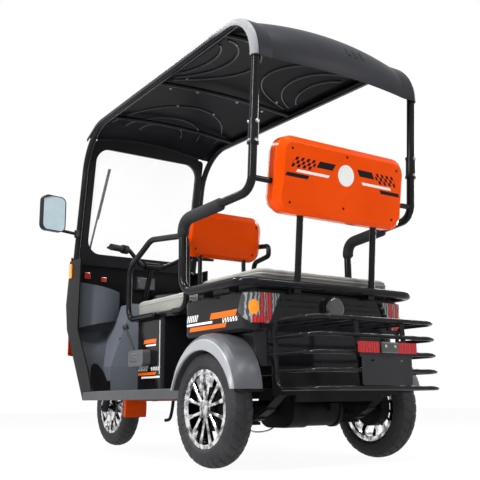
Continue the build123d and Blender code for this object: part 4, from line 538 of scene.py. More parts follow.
# The chassis rails, axle, springs and the cast motor below the body are dull black and dusty
# from the road. A brake rod of bent wire runs below the axle from the left hub to the
# motor's gearbox.
def cast_alloy():
    finish = Finish("cast_alloy")
    sand = finish.noise(420.0, 3.0)
    dust = finish.noise(12.0, 5.0)
    colour = finish.ramp(dust, [(0.3, (0.003, 0.003, 0.004)), (0.8, (0.010, 0.010, 0.009))])
    return finish.surface({
        "Base Color": colour,
        "Roughness": 0.36 + 0.25 * dust,
        "Specular IOR Level": 0.06,
        "Normal": finish.bump(sand, 0.0005, 0.5),
    })


def bent_rod(name, points, radius, finish, body):
    """A round rod through these points, rounded at its bends."""
    curve = bpy.data.curves.new(name, "CURVE")
    curve.dimensions = "3D"
    curve.bevel_depth = radius
    curve.bevel_resolution = 3
    curve.use_fill_caps = True
    spline = curve.splines.new("NURBS")
    spline.points.add(len(points) - 1)
    for knot, place in zip(spline.points, points):
        knot.co = (*place, 1.0)
    spline.order_u = 3
    spline.use_endpoint_u = True
    mesh = finished_mesh(loose_object(name + "_route", curve))
    for face in mesh.polygons:
        face.use_smooth = True
    new_piece(name, mesh, finish, body)


road_black = cast_alloy()
for low_node in ("drive_motor", "rear_axle", "rear_springs", "chassis_frame"):
    paint_node(low_node, road_black)
ROD_POINTS = (
    at(0.268, 0.000, 0.186), at(0.266, 0.022, 0.140), at(0.252, 0.030, 0.121), at(0.206, 0.030, 0.119),
    at(0.150, 0.022, 0.128), at(0.110, 0.000, 0.150),
)
bent_rod("brake_rod", ROD_POINTS, 0.003, zinc_finish, "chassis")


# The floor and leg shield are grained mouldings in charcoal plastic, black outside. The steering
# hump is painted paler as a highlight, and the dash and the toe recess are painted black as
# shade. The small mouldings are black too. Low ribs on the floor give the feet a grip.
def grained_plastic(name, dark, pale, gloss):
    finish = Finish(name)
    grain = finish.noise(700.0, 2.0)
    cloud = finish.noise(3.5, 4.0)
    colour = finish.ramp(cloud, [(0.3, dark), (0.75, pale)])
    finish.surface({
        "Base Color": colour,
        "Roughness": gloss + 0.18 * cloud,
        "Specular IOR Level": 0.12,
        "Normal": finish.bump(grain, 0.0005, 0.35),
    })
    return finish, colour


SHIELD_GREYS = ((0.060, 0.066, 0.080), (0.090, 0.098, 0.116))
HUMP_HIGHLIGHT_GREY = rgb(0.130, 0.142, 0.168)
OUTER_BLACK = rgb(0.003, 0.0033, 0.004)
RECESS_SHADE_BLACK = rgb(0.004, 0.004, 0.005)
DASH_BEHIND, DASH_UP, DASH_HALF = -1.375, 0.66, 0.362
TOE_MIDDLE, TOE_HALF, TOE_FOOT_UP, TOE_RISE = 0.275, 0.047, 0.30, 0.125
TOE_REACH = (-1.33, -1.16)
HUMP_HALF, HUMP_SLANT, HUMP_FOOT_UP, HUMP_TOP_UP = 0.233, 0.395, 0.406, 0.737
OUTER_FROM = 0.352
shield_finish, shield_colour = grained_plastic("charcoal_moulding", *SHIELD_GREYS, 0.34)
across, along, up = shield_finish.axes()
behind = along - axle_y
side = abs(across)
dash = (behind < DASH_BEHIND) * (up > DASH_UP) * (side < DASH_HALF)
toe_across = (side - TOE_MIDDLE) / TOE_HALF
toe_up = ((up - TOE_FOOT_UP) / TOE_RISE).either(0.0)
recess = (toe_across * toe_across + toe_up * toe_up < 1.0) * behind.between(*TOE_REACH)
# Painted shade: the dash and the toe recess are painted black.
painted_recess_shade = dash.either(recess)
hump_half = HUMP_HALF - HUMP_SLANT * (up - HUMP_FOOT_UP).either(0.0)
hump = (side < hump_half) * (up < HUMP_TOP_UP)
# Painted highlight: the steering hump is painted a paler grey.
shield_colour = shield_finish.mix(hump, shield_colour, HUMP_HIGHLIGHT_GREY)
outer = (side > OUTER_FROM) * (1 - painted_recess_shade)
shield_colour = shield_finish.mix(outer, shield_colour, OUTER_BLACK)
shield_finish.surface({"Base Color": shield_finish.mix(painted_recess_shade, shield_colour, RECESS_SHADE_BLACK)})
paint_node("leg_shield", shield_finish.material)

floor_finish, _ = grained_plastic("floor_moulding", (0.056, 0.057, 0.061), (0.082, 0.083, 0.088), 0.42)
paint_node("floor_pan", floor_finish.material)
black_moulding, _ = grained_plastic("black_moulding", (0.006, 0.006, 0.007), (0.012, 0.012, 0.014), 0.34)
MOULDED_NODES = (
    "windscreen_frame", "bar_controls", "mirror_housings", "wiper", "battery_pack", "bench_board",
)
for moulded_node in MOULDED_NODES:
    paint_node(moulded_node, black_moulding.material)

plate_finish, _ = grained_plastic("plate_moulding", (0.019, 0.019, 0.022), (0.028, 0.028, 0.032), 0.36)
paint_node("plate_holder", plate_finish.material)

FLOOR_RIB_SIZE = (0.30, 0.010, 0.0044)
RIB_PITCH = 0.030
RIB_MIDDLE = 0.172
FLOOR_UP = 0.282
RIB_ROWS = ((-1.150, 5), (-0.540, 9))
rib_shape = bmesh.new()
bmesh.ops.create_cube(rib_shape, size=1.0, matrix=Matrix.Diagonal((*FLOOR_RIB_SIZE, 1.0)))
bmesh.ops.bevel(rib_shape, geom=rib_shape.edges[:], offset=0.0018, segments=2, affect="EDGES")
floor_rib = outward_mesh("floor_rib", rib_shape)
rib_spots = []
for front, count in RIB_ROWS:
    for row in range(count):
        for side in (1, -1):
            rib_spots.append((at(RIB_MIDDLE * side, front + RIB_PITCH * row, FLOOR_UP), (0, 0, 1)))
set_parts("floor_ribs", floor_rib, rib_spots, floor_finish.material, "chassis")


# The roof is one pressed sheet, satin black, with oval ribs pressed into it for stiffness:
# half ovals about both rails at the back, and about the screen at the front. Its underside is
# painted darker as shade, its rolled lips carry a painted silver highlight at the rear bend, and
# three short louvres stand on the rear visor.
BEND_FROM, BEND_REACH = 0.02, 0.12
LIP_FROM, LIP_UP = 0.402, 1.45


def roof_sheet():
    finish = Finish("roof_sheet")
    cloud = finish.noise(4.0, 4.0)
    across, along, up = finish.axes()
    near_bend = ((along - axle_y - BEND_FROM) / BEND_REACH).either(0.0)
    # Painted highlight: the rolled lips near the rear bend are painted silver grey.
    bend_lip_highlight = (abs(across) > LIP_FROM) * (up > LIP_UP) * near_bend
    above = finish.ramp(cloud, [(0.3, (0.020, 0.0205, 0.024)), (0.75, (0.030, 0.0305, 0.035))])
    below = finish.ramp(cloud, [(0.3, (0.004, 0.004, 0.005)), (0.75, (0.010, 0.010, 0.012))])
    # Painted shade: faces that look down take the darker colour.
    colour = finish.mix(finish.facing_up() < -0.25, above, below)
    return finish.surface({
        "Base Color": finish.mix(bend_lip_highlight, colour, rgb(0.20, 0.205, 0.215)),
        "Roughness": 0.30 + 0.16 * cloud,
        "Specular IOR Level": 0.03,
    })


def rib_gloss():
    finish = Finish("rib_gloss")
    cloud = finish.noise(4.0, 4.0)
    colour = finish.ramp(cloud, [(0.3, (0.012, 0.012, 0.014)), (0.75, (0.030, 0.030, 0.034))])
    return finish.surface({
        "Base Color": colour,
        "Roughness": 0.12 + 0.10 * cloud,
        "Specular IOR Level": 0.3,
    })


BEAD_STANDS = 0.35
BEAD_SIDES = 8
BEAD_STEP = 0.012


def bead_tree(by_ray):
    """Geometry Nodes: a round bead along a path that is first laid on a surface."""
    inputs = {"Geometry": "Geometry", "Surface": "Object", "Direction": "Vector", "Radius": "Float"}
    inputs.update({"Step": "Float", "Finish": "Material"})
    tree, sockets = empty_tree("bead_by_ray" if by_ray else "bead_by_nearest", inputs)
    make, link = tree.nodes.new, tree.links.new
    given = make("NodeGroupInput")
    path = make("GeometryNodeMeshToCurve")
    link(given.outputs["Geometry"], path.inputs["Mesh"])
    even = make("GeometryNodeResampleCurve")
    even.mode = "LENGTH"
    link(path.outputs["Curve"], even.inputs["Curve"])
    link(given.outputs["Step"], even.inputs["Length"])
    surface = make("GeometryNodeObjectInfo")
    link(given.outputs["Surface"], surface.inputs["Object"])
    laid = make("GeometryNodeSetPosition")
    link(even.outputs["Curve"], laid.inputs["Geometry"])
    if by_ray:
        ray = make("GeometryNodeRaycast")
        link(surface.outputs["Geometry"], ray.inputs["Target Geometry"])
        link(given.outputs["Direction"], ray.inputs["Ray Direction"])
        link(ray.outputs["Hit Position"], laid.inputs["Position"])
        link(ray.outputs["Is Hit"], laid.inputs["Selection"])
        back = make("ShaderNodeMath")
        back.operation = "MULTIPLY"
        back.inputs[1].default_value = -BEAD_STANDS
        link(given.outputs["Radius"], back.inputs[0])
        proud = make("ShaderNodeVectorMath")
        proud.operation = "SCALE"
        link(given.outputs["Direction"], proud.inputs[0])
        link(back.outputs[0], proud.inputs["Scale"])
        link(proud.outputs[0], laid.inputs["Offset"])
    else:
        nearest = make("GeometryNodeProximity")
        link(surface.outputs["Geometry"], nearest.inputs[0])
        link(nearest.outputs["Position"], laid.inputs["Position"])
    ring = make("GeometryNodeCurvePrimitiveCircle")
    ring.inputs["Resolution"].default_value = BEAD_SIDES
    link(given.outputs["Radius"], ring.inputs["Radius"])
    bead = make("GeometryNodeCurveToMesh")
    link(laid.outputs["Geometry"], bead.inputs["Curve"])
    link(ring.outputs["Curve"], bead.inputs["Profile Curve"])
    bead.inputs["Fill Caps"].default_value = True
    smooth = make("GeometryNodeSetShadeSmooth")
    link(bead.outputs["Mesh"], smooth.inputs["Geometry"])
    end_with_finish(tree, given, smooth.outputs[0])
    return tree, sockets


bead_by_ray, ray_sockets = bead_tree(True)


def lay_beads(name, paths, surface, direction, radius, finish):
    """Round beads along open paths, laid on a CAD node in one direction, as one piece."""
    base = bpy.data.meshes.new(name + "_paths")
    places, edges = [], []
    for path in paths:
        first = len(places)
        places.extend(path)
        edges.extend((first + step, first + step + 1) for step in range(len(path) - 1))
    base.from_pydata(places, edges, [])
    mesh = baked_by_nodes(bead_by_ray, ray_sockets, {
        "Surface": nodes[surface], "Direction": direction, "Radius": radius, "Step": BEAD_STEP,
        "Finish": finish,
    }, base)
    new_piece(name, mesh, finish, "chassis")


roof_finish = roof_sheet()
paint_node("roof_panel", roof_finish)
ROOF_NESTS = (
    # middle across, middle behind, half sizes of its ovals, first and last turn in degrees
    (0.400, -0.215, ((0.135, 0.19), (0.225, 0.23), (0.355, 0.255)), 98, 262),
    (-0.400, -0.215, ((0.135, 0.19), (0.225, 0.23), (0.355, 0.255)), -82, 82),
    (0.000, -1.180, ((0.130, 0.14), (0.225, 0.24), (0.320, 0.42)), 12, 168),
)
NEST_STEPS = 28
EDGE_ACROSS = 0.338
RIB_RADIUS = 0.0052
rib_paths = []
for middle_across, middle_behind, ovals, first, last in ROOF_NESTS:
    for half_across, half_behind in ovals:
        path = []
        for step in range(NEST_STEPS + 1):
            turn = math.radians(first + (last - first) * step / NEST_STEPS)
            across = middle_across + half_across * math.cos(turn)
            if abs(across) < EDGE_ACROSS:
                path.append(at(across, middle_behind + half_behind * math.sin(turn), BELOW_ROOF))
        rib_paths.append(path)
rib_finish = rib_gloss()
lay_beads("roof_ribs", rib_paths, "roof_panel", (0, 0, 1), RIB_RADIUS, rib_finish)
LOUVRES = ((-0.026, 1.545), (-0.064, 1.546), (-0.101, 1.547))
LOUVRE_RISE, LOUVRE_SLANT, LOUVRE_RADIUS = 0.036, 0.005, 0.0034
louvre_paths = []
for across, low in LOUVRES:
    louvre_paths.append([at(across, 0.6, low), at(across + LOUVRE_SLANT, 0.6, low + LOUVRE_RISE)])
lay_beads("visor_louvres", louvre_paths, "roof_panel", (0, -1, 0), LOUVRE_RADIUS, roof_finish)


# A rubber seal closes the gap between the screen's arch and the roof. It stands on the arch
# and reaches up to the sheet.
def join_rings(shape, rings):
    """Joins rings of points, one after the other, to a tube with closed ends."""
    for first, second in zip(rings, rings[1:]):
        for side in range(len(first)):
            after = (side + 1) % len(first)
            shape.faces.new((first[side], first[after], second[after], second[side]))
    shape.faces.new(rings[0])
    shape.faces.new(rings[-1])


SEAL_STEPS = 26
SEAL_REACH = 0.316
SEAL_FIT = 0.29
SEAL_HALF = 0.004
SEAL_SINK, SEAL_BITE = 0.003, 0.001
SCREEN_LEAN = 0.187
up_screen = Vector((0, SCREEN_LEAN, 1)).normalized()
to_roof = Vector((0, 0.6, 0.8))
screen_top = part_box("windscreen_frame")[1]
seal_shape = bmesh.new()
seal_rings = []
for step in range(SEAL_STEPS + 1):
    across = SEAL_REACH * (2 * step / SEAL_STEPS - 1)
    fit = max(-SEAL_FIT, min(SEAL_FIT, across))
    beyond = Vector((across - fit, 0, 0))
    above = Vector((fit, screen_top.y - 0.008, screen_top.z)) + up_screen * 0.1
    foot, _ = on_surface("windscreen_frame", above, -up_screen)
    head, _ = on_surface("roof_panel", foot, to_roof)
    low, high = foot - up_screen * SEAL_SINK + beyond, head + to_roof * SEAL_BITE + beyond
    wide = Vector((0, SEAL_HALF, 0))
    spots = (low - wide, low + wide, high + wide, high - wide)
    seal_rings.append([seal_shape.verts.new(spot) for spot in spots])
join_rings(seal_shape, seal_rings)
seal = new_piece("screen_seal", outward_mesh("screen_seal", seal_shape), tyre_finish, "chassis")


# The nose, the front mudguard and the backrest shells are gloss orange mouldings. The bench's
# shell carries plain racing bars and chequers, and dark screws hold both shells.
def orange_gloss(name):
    finish = Finish(name)
    cloud = finish.noise(5.0, 4.0)
    colour = finish.ramp(cloud, [(0.3, (0.63, 0.052, 0.0008)), (0.75, (0.70, 0.064, 0.0015))])
    finish.surface({
        "Base Color": colour,
        "Roughness": 0.16 + 0.08 * cloud,
        "Specular IOR Level": 0.06,
    })
    return finish, colour


def chequers(along, up, square):
    """1 and 0 in turn on small squares."""
    return ((along / square).whole() + (up / square).whole()) % 2.0


plain_orange, _ = orange_gloss("orange_gloss")
for orange_node in ("front_mudguard", "front_cowl", "driver_back_shell"):
    paint_node(orange_node, plain_orange.material)

PRINT_SLANT, PRINT_SQUARE = 0.6, 0.013
PRINT_OUTER, PRINT_INNER = (0.158, 0.262), (0.072, 0.150)
ROUNDEL_UP, ROUNDEL_RADIUS = 1.058, 0.040
shell_print, shell_colour = orange_gloss("orange_with_bars")
across, _, up = shell_print.axes()
side = abs(across)
slanted = side + (up - 1.06) * PRINT_SLANT
field = slanted.between(*PRINT_OUTER) * up.between(1.052, 1.091)
squares = field * chequers(slanted, up - 1.052, PRINT_SQUARE)
black_bar = slanted.between(*PRINT_INNER) * up.between(1.066, 1.091)
black_bar = black_bar.either(slanted.between(*PRINT_OUTER) * up.between(1.016, 1.030))
white_bar = slanted.between(0.072, 0.225) * up.between(1.036, 1.046)
off_roundel = up - ROUNDEL_UP
roundel = across * across + off_roundel * off_roundel < ROUNDEL_RADIUS ** 2
shell_colour = shell_print.mix(squares.either(black_bar), shell_colour, rgb(0.008, 0.008, 0.010))
shell_colour = shell_print.mix(white_bar.either(roundel), shell_colour, rgb(0.68, 0.68, 0.66))
shell_print.surface({"Base Color": shell_colour})
paint_node("bench_back_shell", shell_print.material)

SCREW_PROFILE = [
    (0, 0.0006), (0.0016, 0.0006), (0.0020, 0.0022), (0.0042, 0.0018), (0.0052, 0.0004), (0.0052, -0.002),
    (0, -0.002),
]
pan_screw = turned("pan_screw", SCREW_PROFILE, 12)
dark_screw = bare_metal("dark_screw", (0.035, 0.008, 0.006), (0.06, 0.014, 0.010))
screw_spots = []
BENCH_SCREWS = (
    (-0.255, 0.925), (0.0, 0.935), (0.255, 0.925), (-0.262, 1.118), (0.0, 1.128), (0.262, 1.118),
)
DRIVER_SCREWS = ((-0.155, 0.902), (0.155, 0.902), (-0.165, 1.032), (0.165, 1.032))
for across, up in BENCH_SCREWS:
    screw_spots.append(on_surface("bench_back_shell", at(across, 0.6, up), (0, -1, 0)))
for across, up in DRIVER_SCREWS:
    screw_spots.append(on_surface("driver_back_shell", at(across, -0.2, up), (0, -1, 0)))
set_parts("shell_screws", pan_screw, screw_spots, dark_screw, "chassis")


# The fenders are pressed steel in satin silver grey, with a fine flake in the paint and a
# painted highlight that makes the rolled lip on the outer side brighter.
FENDER_LIP_FROM = 0.449


def fender_paint():
    finish = Finish("fender_paint")
    cloud = finish.noise(6.0, 4.0)
    flake = finish.noise(1400.0, 1.0)
    colour = finish.ramp(cloud, [(0.3, (0.082, 0.086, 0.096)), (0.75, (0.106, 0.110, 0.120))])
    # Painted highlight: the rolled lip on the outer side is painted a brighter grey.
    lip = abs(finish.axes()[0]) > FENDER_LIP_FROM
    return finish.surface({
        "Base Color": finish.mix(lip, colour, rgb(0.26, 0.265, 0.28)),
        "Metallic": 0.15,
        "Roughness": 0.30 + 0.10 * cloud,
        "Specular IOR Level": 0.22,
        "Normal": finish.bump(flake, 0.0003, 0.15),
    })


fender_finish = fender_paint()
for fender_node in ("rear_left_fender", "rear_right_fender"):
    paint_node(fender_node, fender_finish)


# The rear body and the driver's seat box are gloss black sheet with plain bars and chequers
# in orange and white. A bright strip covers the seat box's rear corners, and two pressed
# ledges cross the tail.
def panel_gloss(name):
    finish = Finish(name)
    cloud = finish.noise(4.0, 4.0)
    colour = finish.ramp(cloud, [(0.3, (0.005, 0.005, 0.006)), (0.75, (0.011, 0.011, 0.013))])
    finish.surface({
        "Base Color": colour,
        "Roughness": 0.06 + 0.06 * cloud,
        "Specular IOR Level": 0.16,
    })
    return finish, colour


BAR_SLANT = 0.5
BAR_SQUARE = 0.0085
SIDES_FROM = 0.195


def with_bars(finish, colour, bars):
    """Bars on the sides: kind, reach along the slant, reach up, all behind the axle and in metres."""
    across, along, up = finish.axes()
    behind = along - axle_y
    pale = rgb(0.72, 0.72, 0.70)
    inks = {"orange": rgb(0.80, 0.12, 0.004), "white": pale, "chequers": pale}
    for ink, (start, end), (low, high) in bars:
        slanted = behind - (up - low) * BAR_SLANT
        mask = slanted.between(start, end) * up.between(low, high) * (abs(across) > SIDES_FROM)
        if ink == "chequers":
            mask = mask * chequers(slanted, up - low, BAR_SQUARE)
        colour = finish.mix(mask, colour, inks[ink])
    finish.surface({"Base Color": colour})
    return finish.material


BODY_BARS = (
    ("chequers", (-0.235, -0.150), (0.530, 0.5555)),
    ("white", (-0.235, -0.045), (0.515, 0.524)),
    ("orange", (-0.205, 0.045), (0.494, 0.509)),
    ("orange", (-0.060, 0.110), (0.530, 0.552)),
    ("chequers", (0.020, 0.120), (0.511, 0.528)),
)
BOX_BARS = (
    ("chequers", (-0.975, -0.880), (0.372, 0.3975)),
    ("orange", (-0.975, -0.800), (0.353, 0.366)),
    ("white", (-0.940, -0.760), (0.338, 0.347)),
    ("chequers", (-0.850, -0.760), (0.372, 0.389)),
    ("orange", (-0.920, -0.800), (0.500, 0.518)),
    ("white", (-0.900, -0.800), (0.486, 0.494)),
)
paint_node("rear_body", with_bars(*panel_gloss("body_gloss"), BODY_BARS))
paint_node("driver_seat_box", with_bars(*panel_gloss("box_gloss"), BOX_BARS))
ledge_finish, _ = panel_gloss("ledge_gloss")
LEDGES_UP = (0.586, 0.566)
LEDGE_REACH = (0.062, 0.238)
LEDGE_RADIUS = 0.003
ledge_paths = []
for up in LEDGES_UP:
    for side in (1, -1):
        ledge_paths.append([at(across * side, 0.4, up) for across in LEDGE_REACH])
ledge_black = ledge_finish.material
lay_beads("tail_ledges", ledge_paths, "rear_body", (0, -1, 0), LEDGE_RADIUS, ledge_black)
strip_finish = bare_metal("bright_strip", (0.60, 0.60, 0.60), (0.72, 0.72, 0.72))
STRIP_BEHIND = -0.757
STRIP_UP = (0.354, 0.600)
STRIP_RADIUS = 0.0035
for label, side in (("left", 1), ("right", -1)):
    lay_beads(
        label + "_box_strip", [[at(0.6 * side, STRIP_BEHIND, up) for up in STRIP_UP]], "driver_seat_box",
        (-side, 0, 0), STRIP_RADIUS, strip_finish,
    )


# The cushions are foam under pale grey vinyl with a fine grain, sewn with a piping round the
# upper edge. Cloth pressure swells each from a slightly smaller copy of its solid.
PAN_BLACK = rgb(0.006, 0.006, 0.007)


def vinyl(name, side_shade=None, pan_edge=None):
    """Pale vinyl, with painted shade that greys a seat's sides. Below pan_edge, the pan's black lip covers
    the side.
    """
    finish = Finish(name)
    cloud = finish.noise(7.0, 4.0)
    creases = {"Vector": finish.where, "Scale": 420.0}
    grain = finish.node("ShaderNodeTexVoronoi", {"feature": "DISTANCE_TO_EDGE"}, creases)
    colour = finish.ramp(cloud, [(0.3, (0.29, 0.287, 0.265)), (0.75, (0.35, 0.346, 0.322))])
    if side_shade:
        # Painted shade: faces that look sideways or down take the darker side colour.
        colour = finish.mix(1.2 - 1.6 * finish.facing_up(), colour, side_shade)
    if pan_edge:
        colour = finish.mix(finish.axes()[2] < pan_edge, colour, PAN_BLACK)
    return finish.surface({
        "Base Color": colour,
        "Roughness": 0.44 + 0.16 * cloud,
        "Specular IOR Level": 0.2,
        "Normal": finish.bump(grain, 0.0006, 0.3),
    })


CLOTH_FRAMES = 20
CLOTH_PRESSURE = 4.0


def swollen(mesh, swell):
    """Runs cloth pressure on a mesh, and holds every point within swell of where it began."""
    start = [vertex.co.copy() for vertex in mesh.vertices]
    piece = loose_object("cloth", mesh)
    cloth = piece.modifiers.new("cloth", "CLOTH")
    cloth.settings.use_pressure = True
    cloth.settings.uniform_pressure_force = CLOTH_PRESSURE
    cloth.settings.effector_weights.gravity = 0.0
    cloth.settings.quality = 4
    cloth.point_cache.frame_start = 1
    cloth.point_cache.frame_end = CLOTH_FRAMES
    for moment in range(1, CLOTH_FRAMES + 1):
        bpy.context.scene.frame_set(moment)
    swelled = finished_mesh(piece)
    bpy.context.scene.frame_set(1)
    for vertex, began in zip(swelled.vertices, start):
        move = vertex.co - began
        if move.length > swell:
            vertex.co = began + move * (swell / move.length)
    return swelled


def stuffed(name, node, body, voxel, swell, finish, rest_height=None):
    """A padded piece from a CAD node: made smaller, swollen by pressure, flat where it rests."""
    merged = bmesh.new()
    merged.from_mesh(nodes[node].data)
    bmesh.ops.remove_doubles(merged, verts=merged.verts, dist=0.0001)
    mesh = bpy.data.meshes.new(name)
    merged.to_mesh(mesh)
    merged.free()
    piece = loose_object(name + "_start", mesh)
    remesh = piece.modifiers.new("remesh", "REMESH")
    remesh.mode = "VOXEL"
    remesh.voxel_size = voxel
    soften = piece.modifiers.new("soften", "SMOOTH")
    soften.factor = 0.5
    soften.iterations = 10
    mesh = finished_mesh(piece)
    inward = [vertex.normal.copy() for vertex in mesh.vertices]
    for vertex, normal in zip(mesh.vertices, inward):
        vertex.co -= normal * swell * 0.5
    mesh = swollen(mesh, swell)
    if rest_height is not None:
        for vertex in mesh.vertices:
            vertex.co.z = max(vertex.co.z, rest_height)
    piece = loose_object(name + "_smooth", mesh)
    rounder = piece.modifiers.new("rounder", "SUBSURF")
    rounder.levels = rounder.render_levels = 1
    mesh = finished_mesh(piece)
    for face in mesh.polygons:
        face.use_smooth = True
    padded = new_piece(name, mesh, finish, body, node)
    return padded


bead_by_nearest, nearest_sockets = bead_tree(False)
CORNER_STEPS = 6
PIPING_STEP = 0.009


def piping(name, pad, corners, corner_radius, radius, finish, body):
    """A sewn piping laid on a pad along a rounded loop through four corners."""
    path = []
    for before, corner, after in zip(corners[-1:] + corners[:-1], corners, corners[1:] + corners[:1]):
        into = (before - corner).normalized() * corner_radius
        out = (after - corner).normalized() * corner_radius
        for step in range(CORNER_STEPS + 1):
            share = step / CORNER_STEPS
            path.append(corner + into * (1 - share) ** 2 + out * share ** 2)
    base = bpy.data.meshes.new(name + "_path")
    base.from_pydata(path, [(step, (step + 1) % len(path)) for step in range(len(path))], [])
    mesh = baked_by_nodes(bead_by_nearest, nearest_sockets, {
        "Surface": pad, "Direction": (0, 0, 0), "Radius": radius, "Step": PIPING_STEP, "Finish": finish,
    }, base)
    new_piece(name, mesh, finish, body)


vinyl_finish = vinyl("seat_vinyl")
# The grey given to each seat is painted shade for its sides.
bench_finish = vinyl("bench_vinyl", rgb(0.120, 0.119, 0.113), pan_edge=0.650)
driver_finish = vinyl("driver_vinyl", rgb(0.240, 0.237, 0.218))
PIPING_RADIUS, PIPING_CORNER, PIPING_SHARE = 0.0032, 0.055, 0.72
SEAT_SWELL, SEAT_FILL, SEAT_LIFT = 0.007, 0.75, 0.001
SEATS = (
    # node, body, voxel, finish
    ("bench_cushion", "bench_seat", 0.008, bench_finish),
    ("driver_cushion", "chassis", 0.007, driver_finish),
)
for node, body, voxel, finish in SEATS:
    low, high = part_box(node)
    rest = low.z + SEAT_LIFT
    seat = stuffed("padded_" + node, node, body, voxel, SEAT_SWELL, finish, rest)
    height = low.z + (high.z - low.z) * PIPING_SHARE
    loop = [Vector((low.x, low.y, height)), Vector((high.x, low.y, height)),
            Vector((high.x, high.y, height)), Vector((low.x, high.y, height))]
    piping(node + "_piping", seat, loop, PIPING_CORNER, PIPING_RADIUS, vinyl_finish, body)
PAD_VOXEL, PAD_SWELL, PAD_FILL = 0.006, 0.009, 0.7
for node in ("bench_back_pad", "driver_back_pad"):
    stuffed("padded_" + node, node, "chassis", PAD_VOXEL, PAD_SWELL, vinyl_finish)


# The arm rests are split sleeves of soft grey foam, pushed over the bench's tubes and round
# their front bend. They are thicker above, and their skin has fine open cells.
def foam():
    finish = Finish("grey_foam")
    cells = finish.node("ShaderNodeTexVoronoi", None, {"Vector": finish.where, "Scale": 900.0})
    cloud = finish.noise(9.0, 3.0)
    colour = finish.ramp(cloud, [(0.3, (0.014, 0.014, 0.016)), (0.75, (0.026, 0.026, 0.029))])
    return finish.surface({
        "Base Color": colour,
        "Roughness": 0.62 + 0.2 * cloud,
        "Specular IOR Level": 0.12,
        "Normal": finish.bump(cells, 0.0006, 0.5),
    })


ARM_BACK, ARM_KNEE, ARM_HEEL = (0.413, 0.085, 0.944), (0.432, -0.165, 0.928), (0.432, -0.165, 0.858)
ARM_BEND = 0.062
SLEEVE_RINGS = 30
SLEEVE_SIDES = 20
SLEEVE_HALF = 0.0215
SLEEVE_CROWN = 0.006
SLEEVE_END = 0.012
SLEEVE_MOUTH = 0.0165


def sleeve_path():
    """Even steps along the arm, round its bend and a little way down, with their directions."""
    back, knee, heel = Vector(ARM_BACK), Vector(ARM_KNEE), Vector(ARM_HEEL)
    along, down = (knee - back).normalized(), (heel - knee).normalized()
    reach = ARM_BEND * math.tan(along.angle(down) / 2)
    corners = [back, knee - along * reach, knee + down * reach, heel]
    lengths = [(corners[1] - back).length, ARM_BEND * along.angle(down), (heel - corners[2]).length]
    total = sum(lengths)
    steps = []
    for ring in range(SLEEVE_RINGS + 1):
        gone = total * ring / SLEEVE_RINGS
        if gone < lengths[0]:
            place, way = back + along * gone, along
        elif gone < lengths[0] + lengths[1]:
            share = (gone - lengths[0]) / lengths[1]
            way = along.slerp(down, share)
            into, out = corners[1] - knee, corners[2] - knee
            place = knee + into * (1 - share) ** 2 + out * share ** 2
        else:
            place, way = heel - down * (total - gone), down
        steps.append((place, way, min(gone, total - gone)))
    return steps


def foam_sleeves():
    """Both sleeves as one mesh: rings about the tube, thicker above and round at the ends."""
    shape = bmesh.new()
    for mirror in (1, -1):
        rings = []
        for place, way, from_end in sleeve_path():
            outward = way.cross(Vector((1, 0, 0))).normalized()
            across = outward.cross(way)
            rounding = math.sqrt(max(0.0, 1 - (1 - min(1.0, from_end / SLEEVE_END)) ** 2))
            ring = []
            for side in range(SLEEVE_SIDES):
                turn = math.tau * side / SLEEVE_SIDES
                crown = SLEEVE_CROWN * max(0.0, -math.sin(turn))
                half = SLEEVE_MOUTH + (SLEEVE_HALF + crown - SLEEVE_MOUTH) * rounding
                spot = place + across * half * math.cos(turn) + outward * half * math.sin(turn)
                ring.append(shape.verts.new((spot.x * mirror, axle_y + spot.y, spot.z)))
            rings.append(ring)
        join_rings(shape, rings)
    mesh = outward_mesh("foam_sleeves", shape)
    for face in mesh.polygons:
        face.use_smooth = True
    return mesh


sleeves = new_piece("foam_sleeves", foam_sleeves(), foam(), "chassis", "arm_pads")


# The screen is clear glass held in its moulded frame, with a faint haze. The mirrors are
# silvered glass with a faint blue tint, set in their housings.
def clear_glass():
    finish = Finish("clear_glass")
    haze = finish.noise(5.0, 3.0)
    return finish.surface({
        "Base Color": rgb(0.95, 0.97, 0.97),
        "Roughness": 0.02 + 0.02 * haze,
        "Alpha": 0.05 + 0.03 * haze,
    })


def silvered():
    finish = Finish("silvered")
    haze = finish.noise(20.0, 3.0)
    colour = finish.ramp(haze, [(0.3, (0.46, 0.57, 0.63)), (0.75, (0.54, 0.65, 0.71))])
    return finish.surface({"Base Color": colour, "Metallic": 1.0, "Roughness": 0.03 + 0.04 * haze})


paint_node("windscreen_glass", clear_glass())
paint_node("mirror_glasses", silvered())


# The tail lamps are one clear moulding each, with an amber bulb at the corner, two red bars
# and a red block below them; the streaks on their clear parts are painted reflections. The
# reflectors above the plate are red with fine prisms. The headlamp's lens is fluted, and the
# centre lamp is smoked.
BULB_ACROSS, BULB_BEHIND, BULB_UP, BULB_RADIUS = 0.366, 0.212, 0.553, 0.023
RED_BARS = ((0.322, 0.336), (0.290, 0.310))
RED_BLOCK = (0.312, 0.366)
BLOCK_TOP_UP, BARS_FOOT_UP, REFLECTOR_TOP_UP = 0.523, 0.505, 0.45


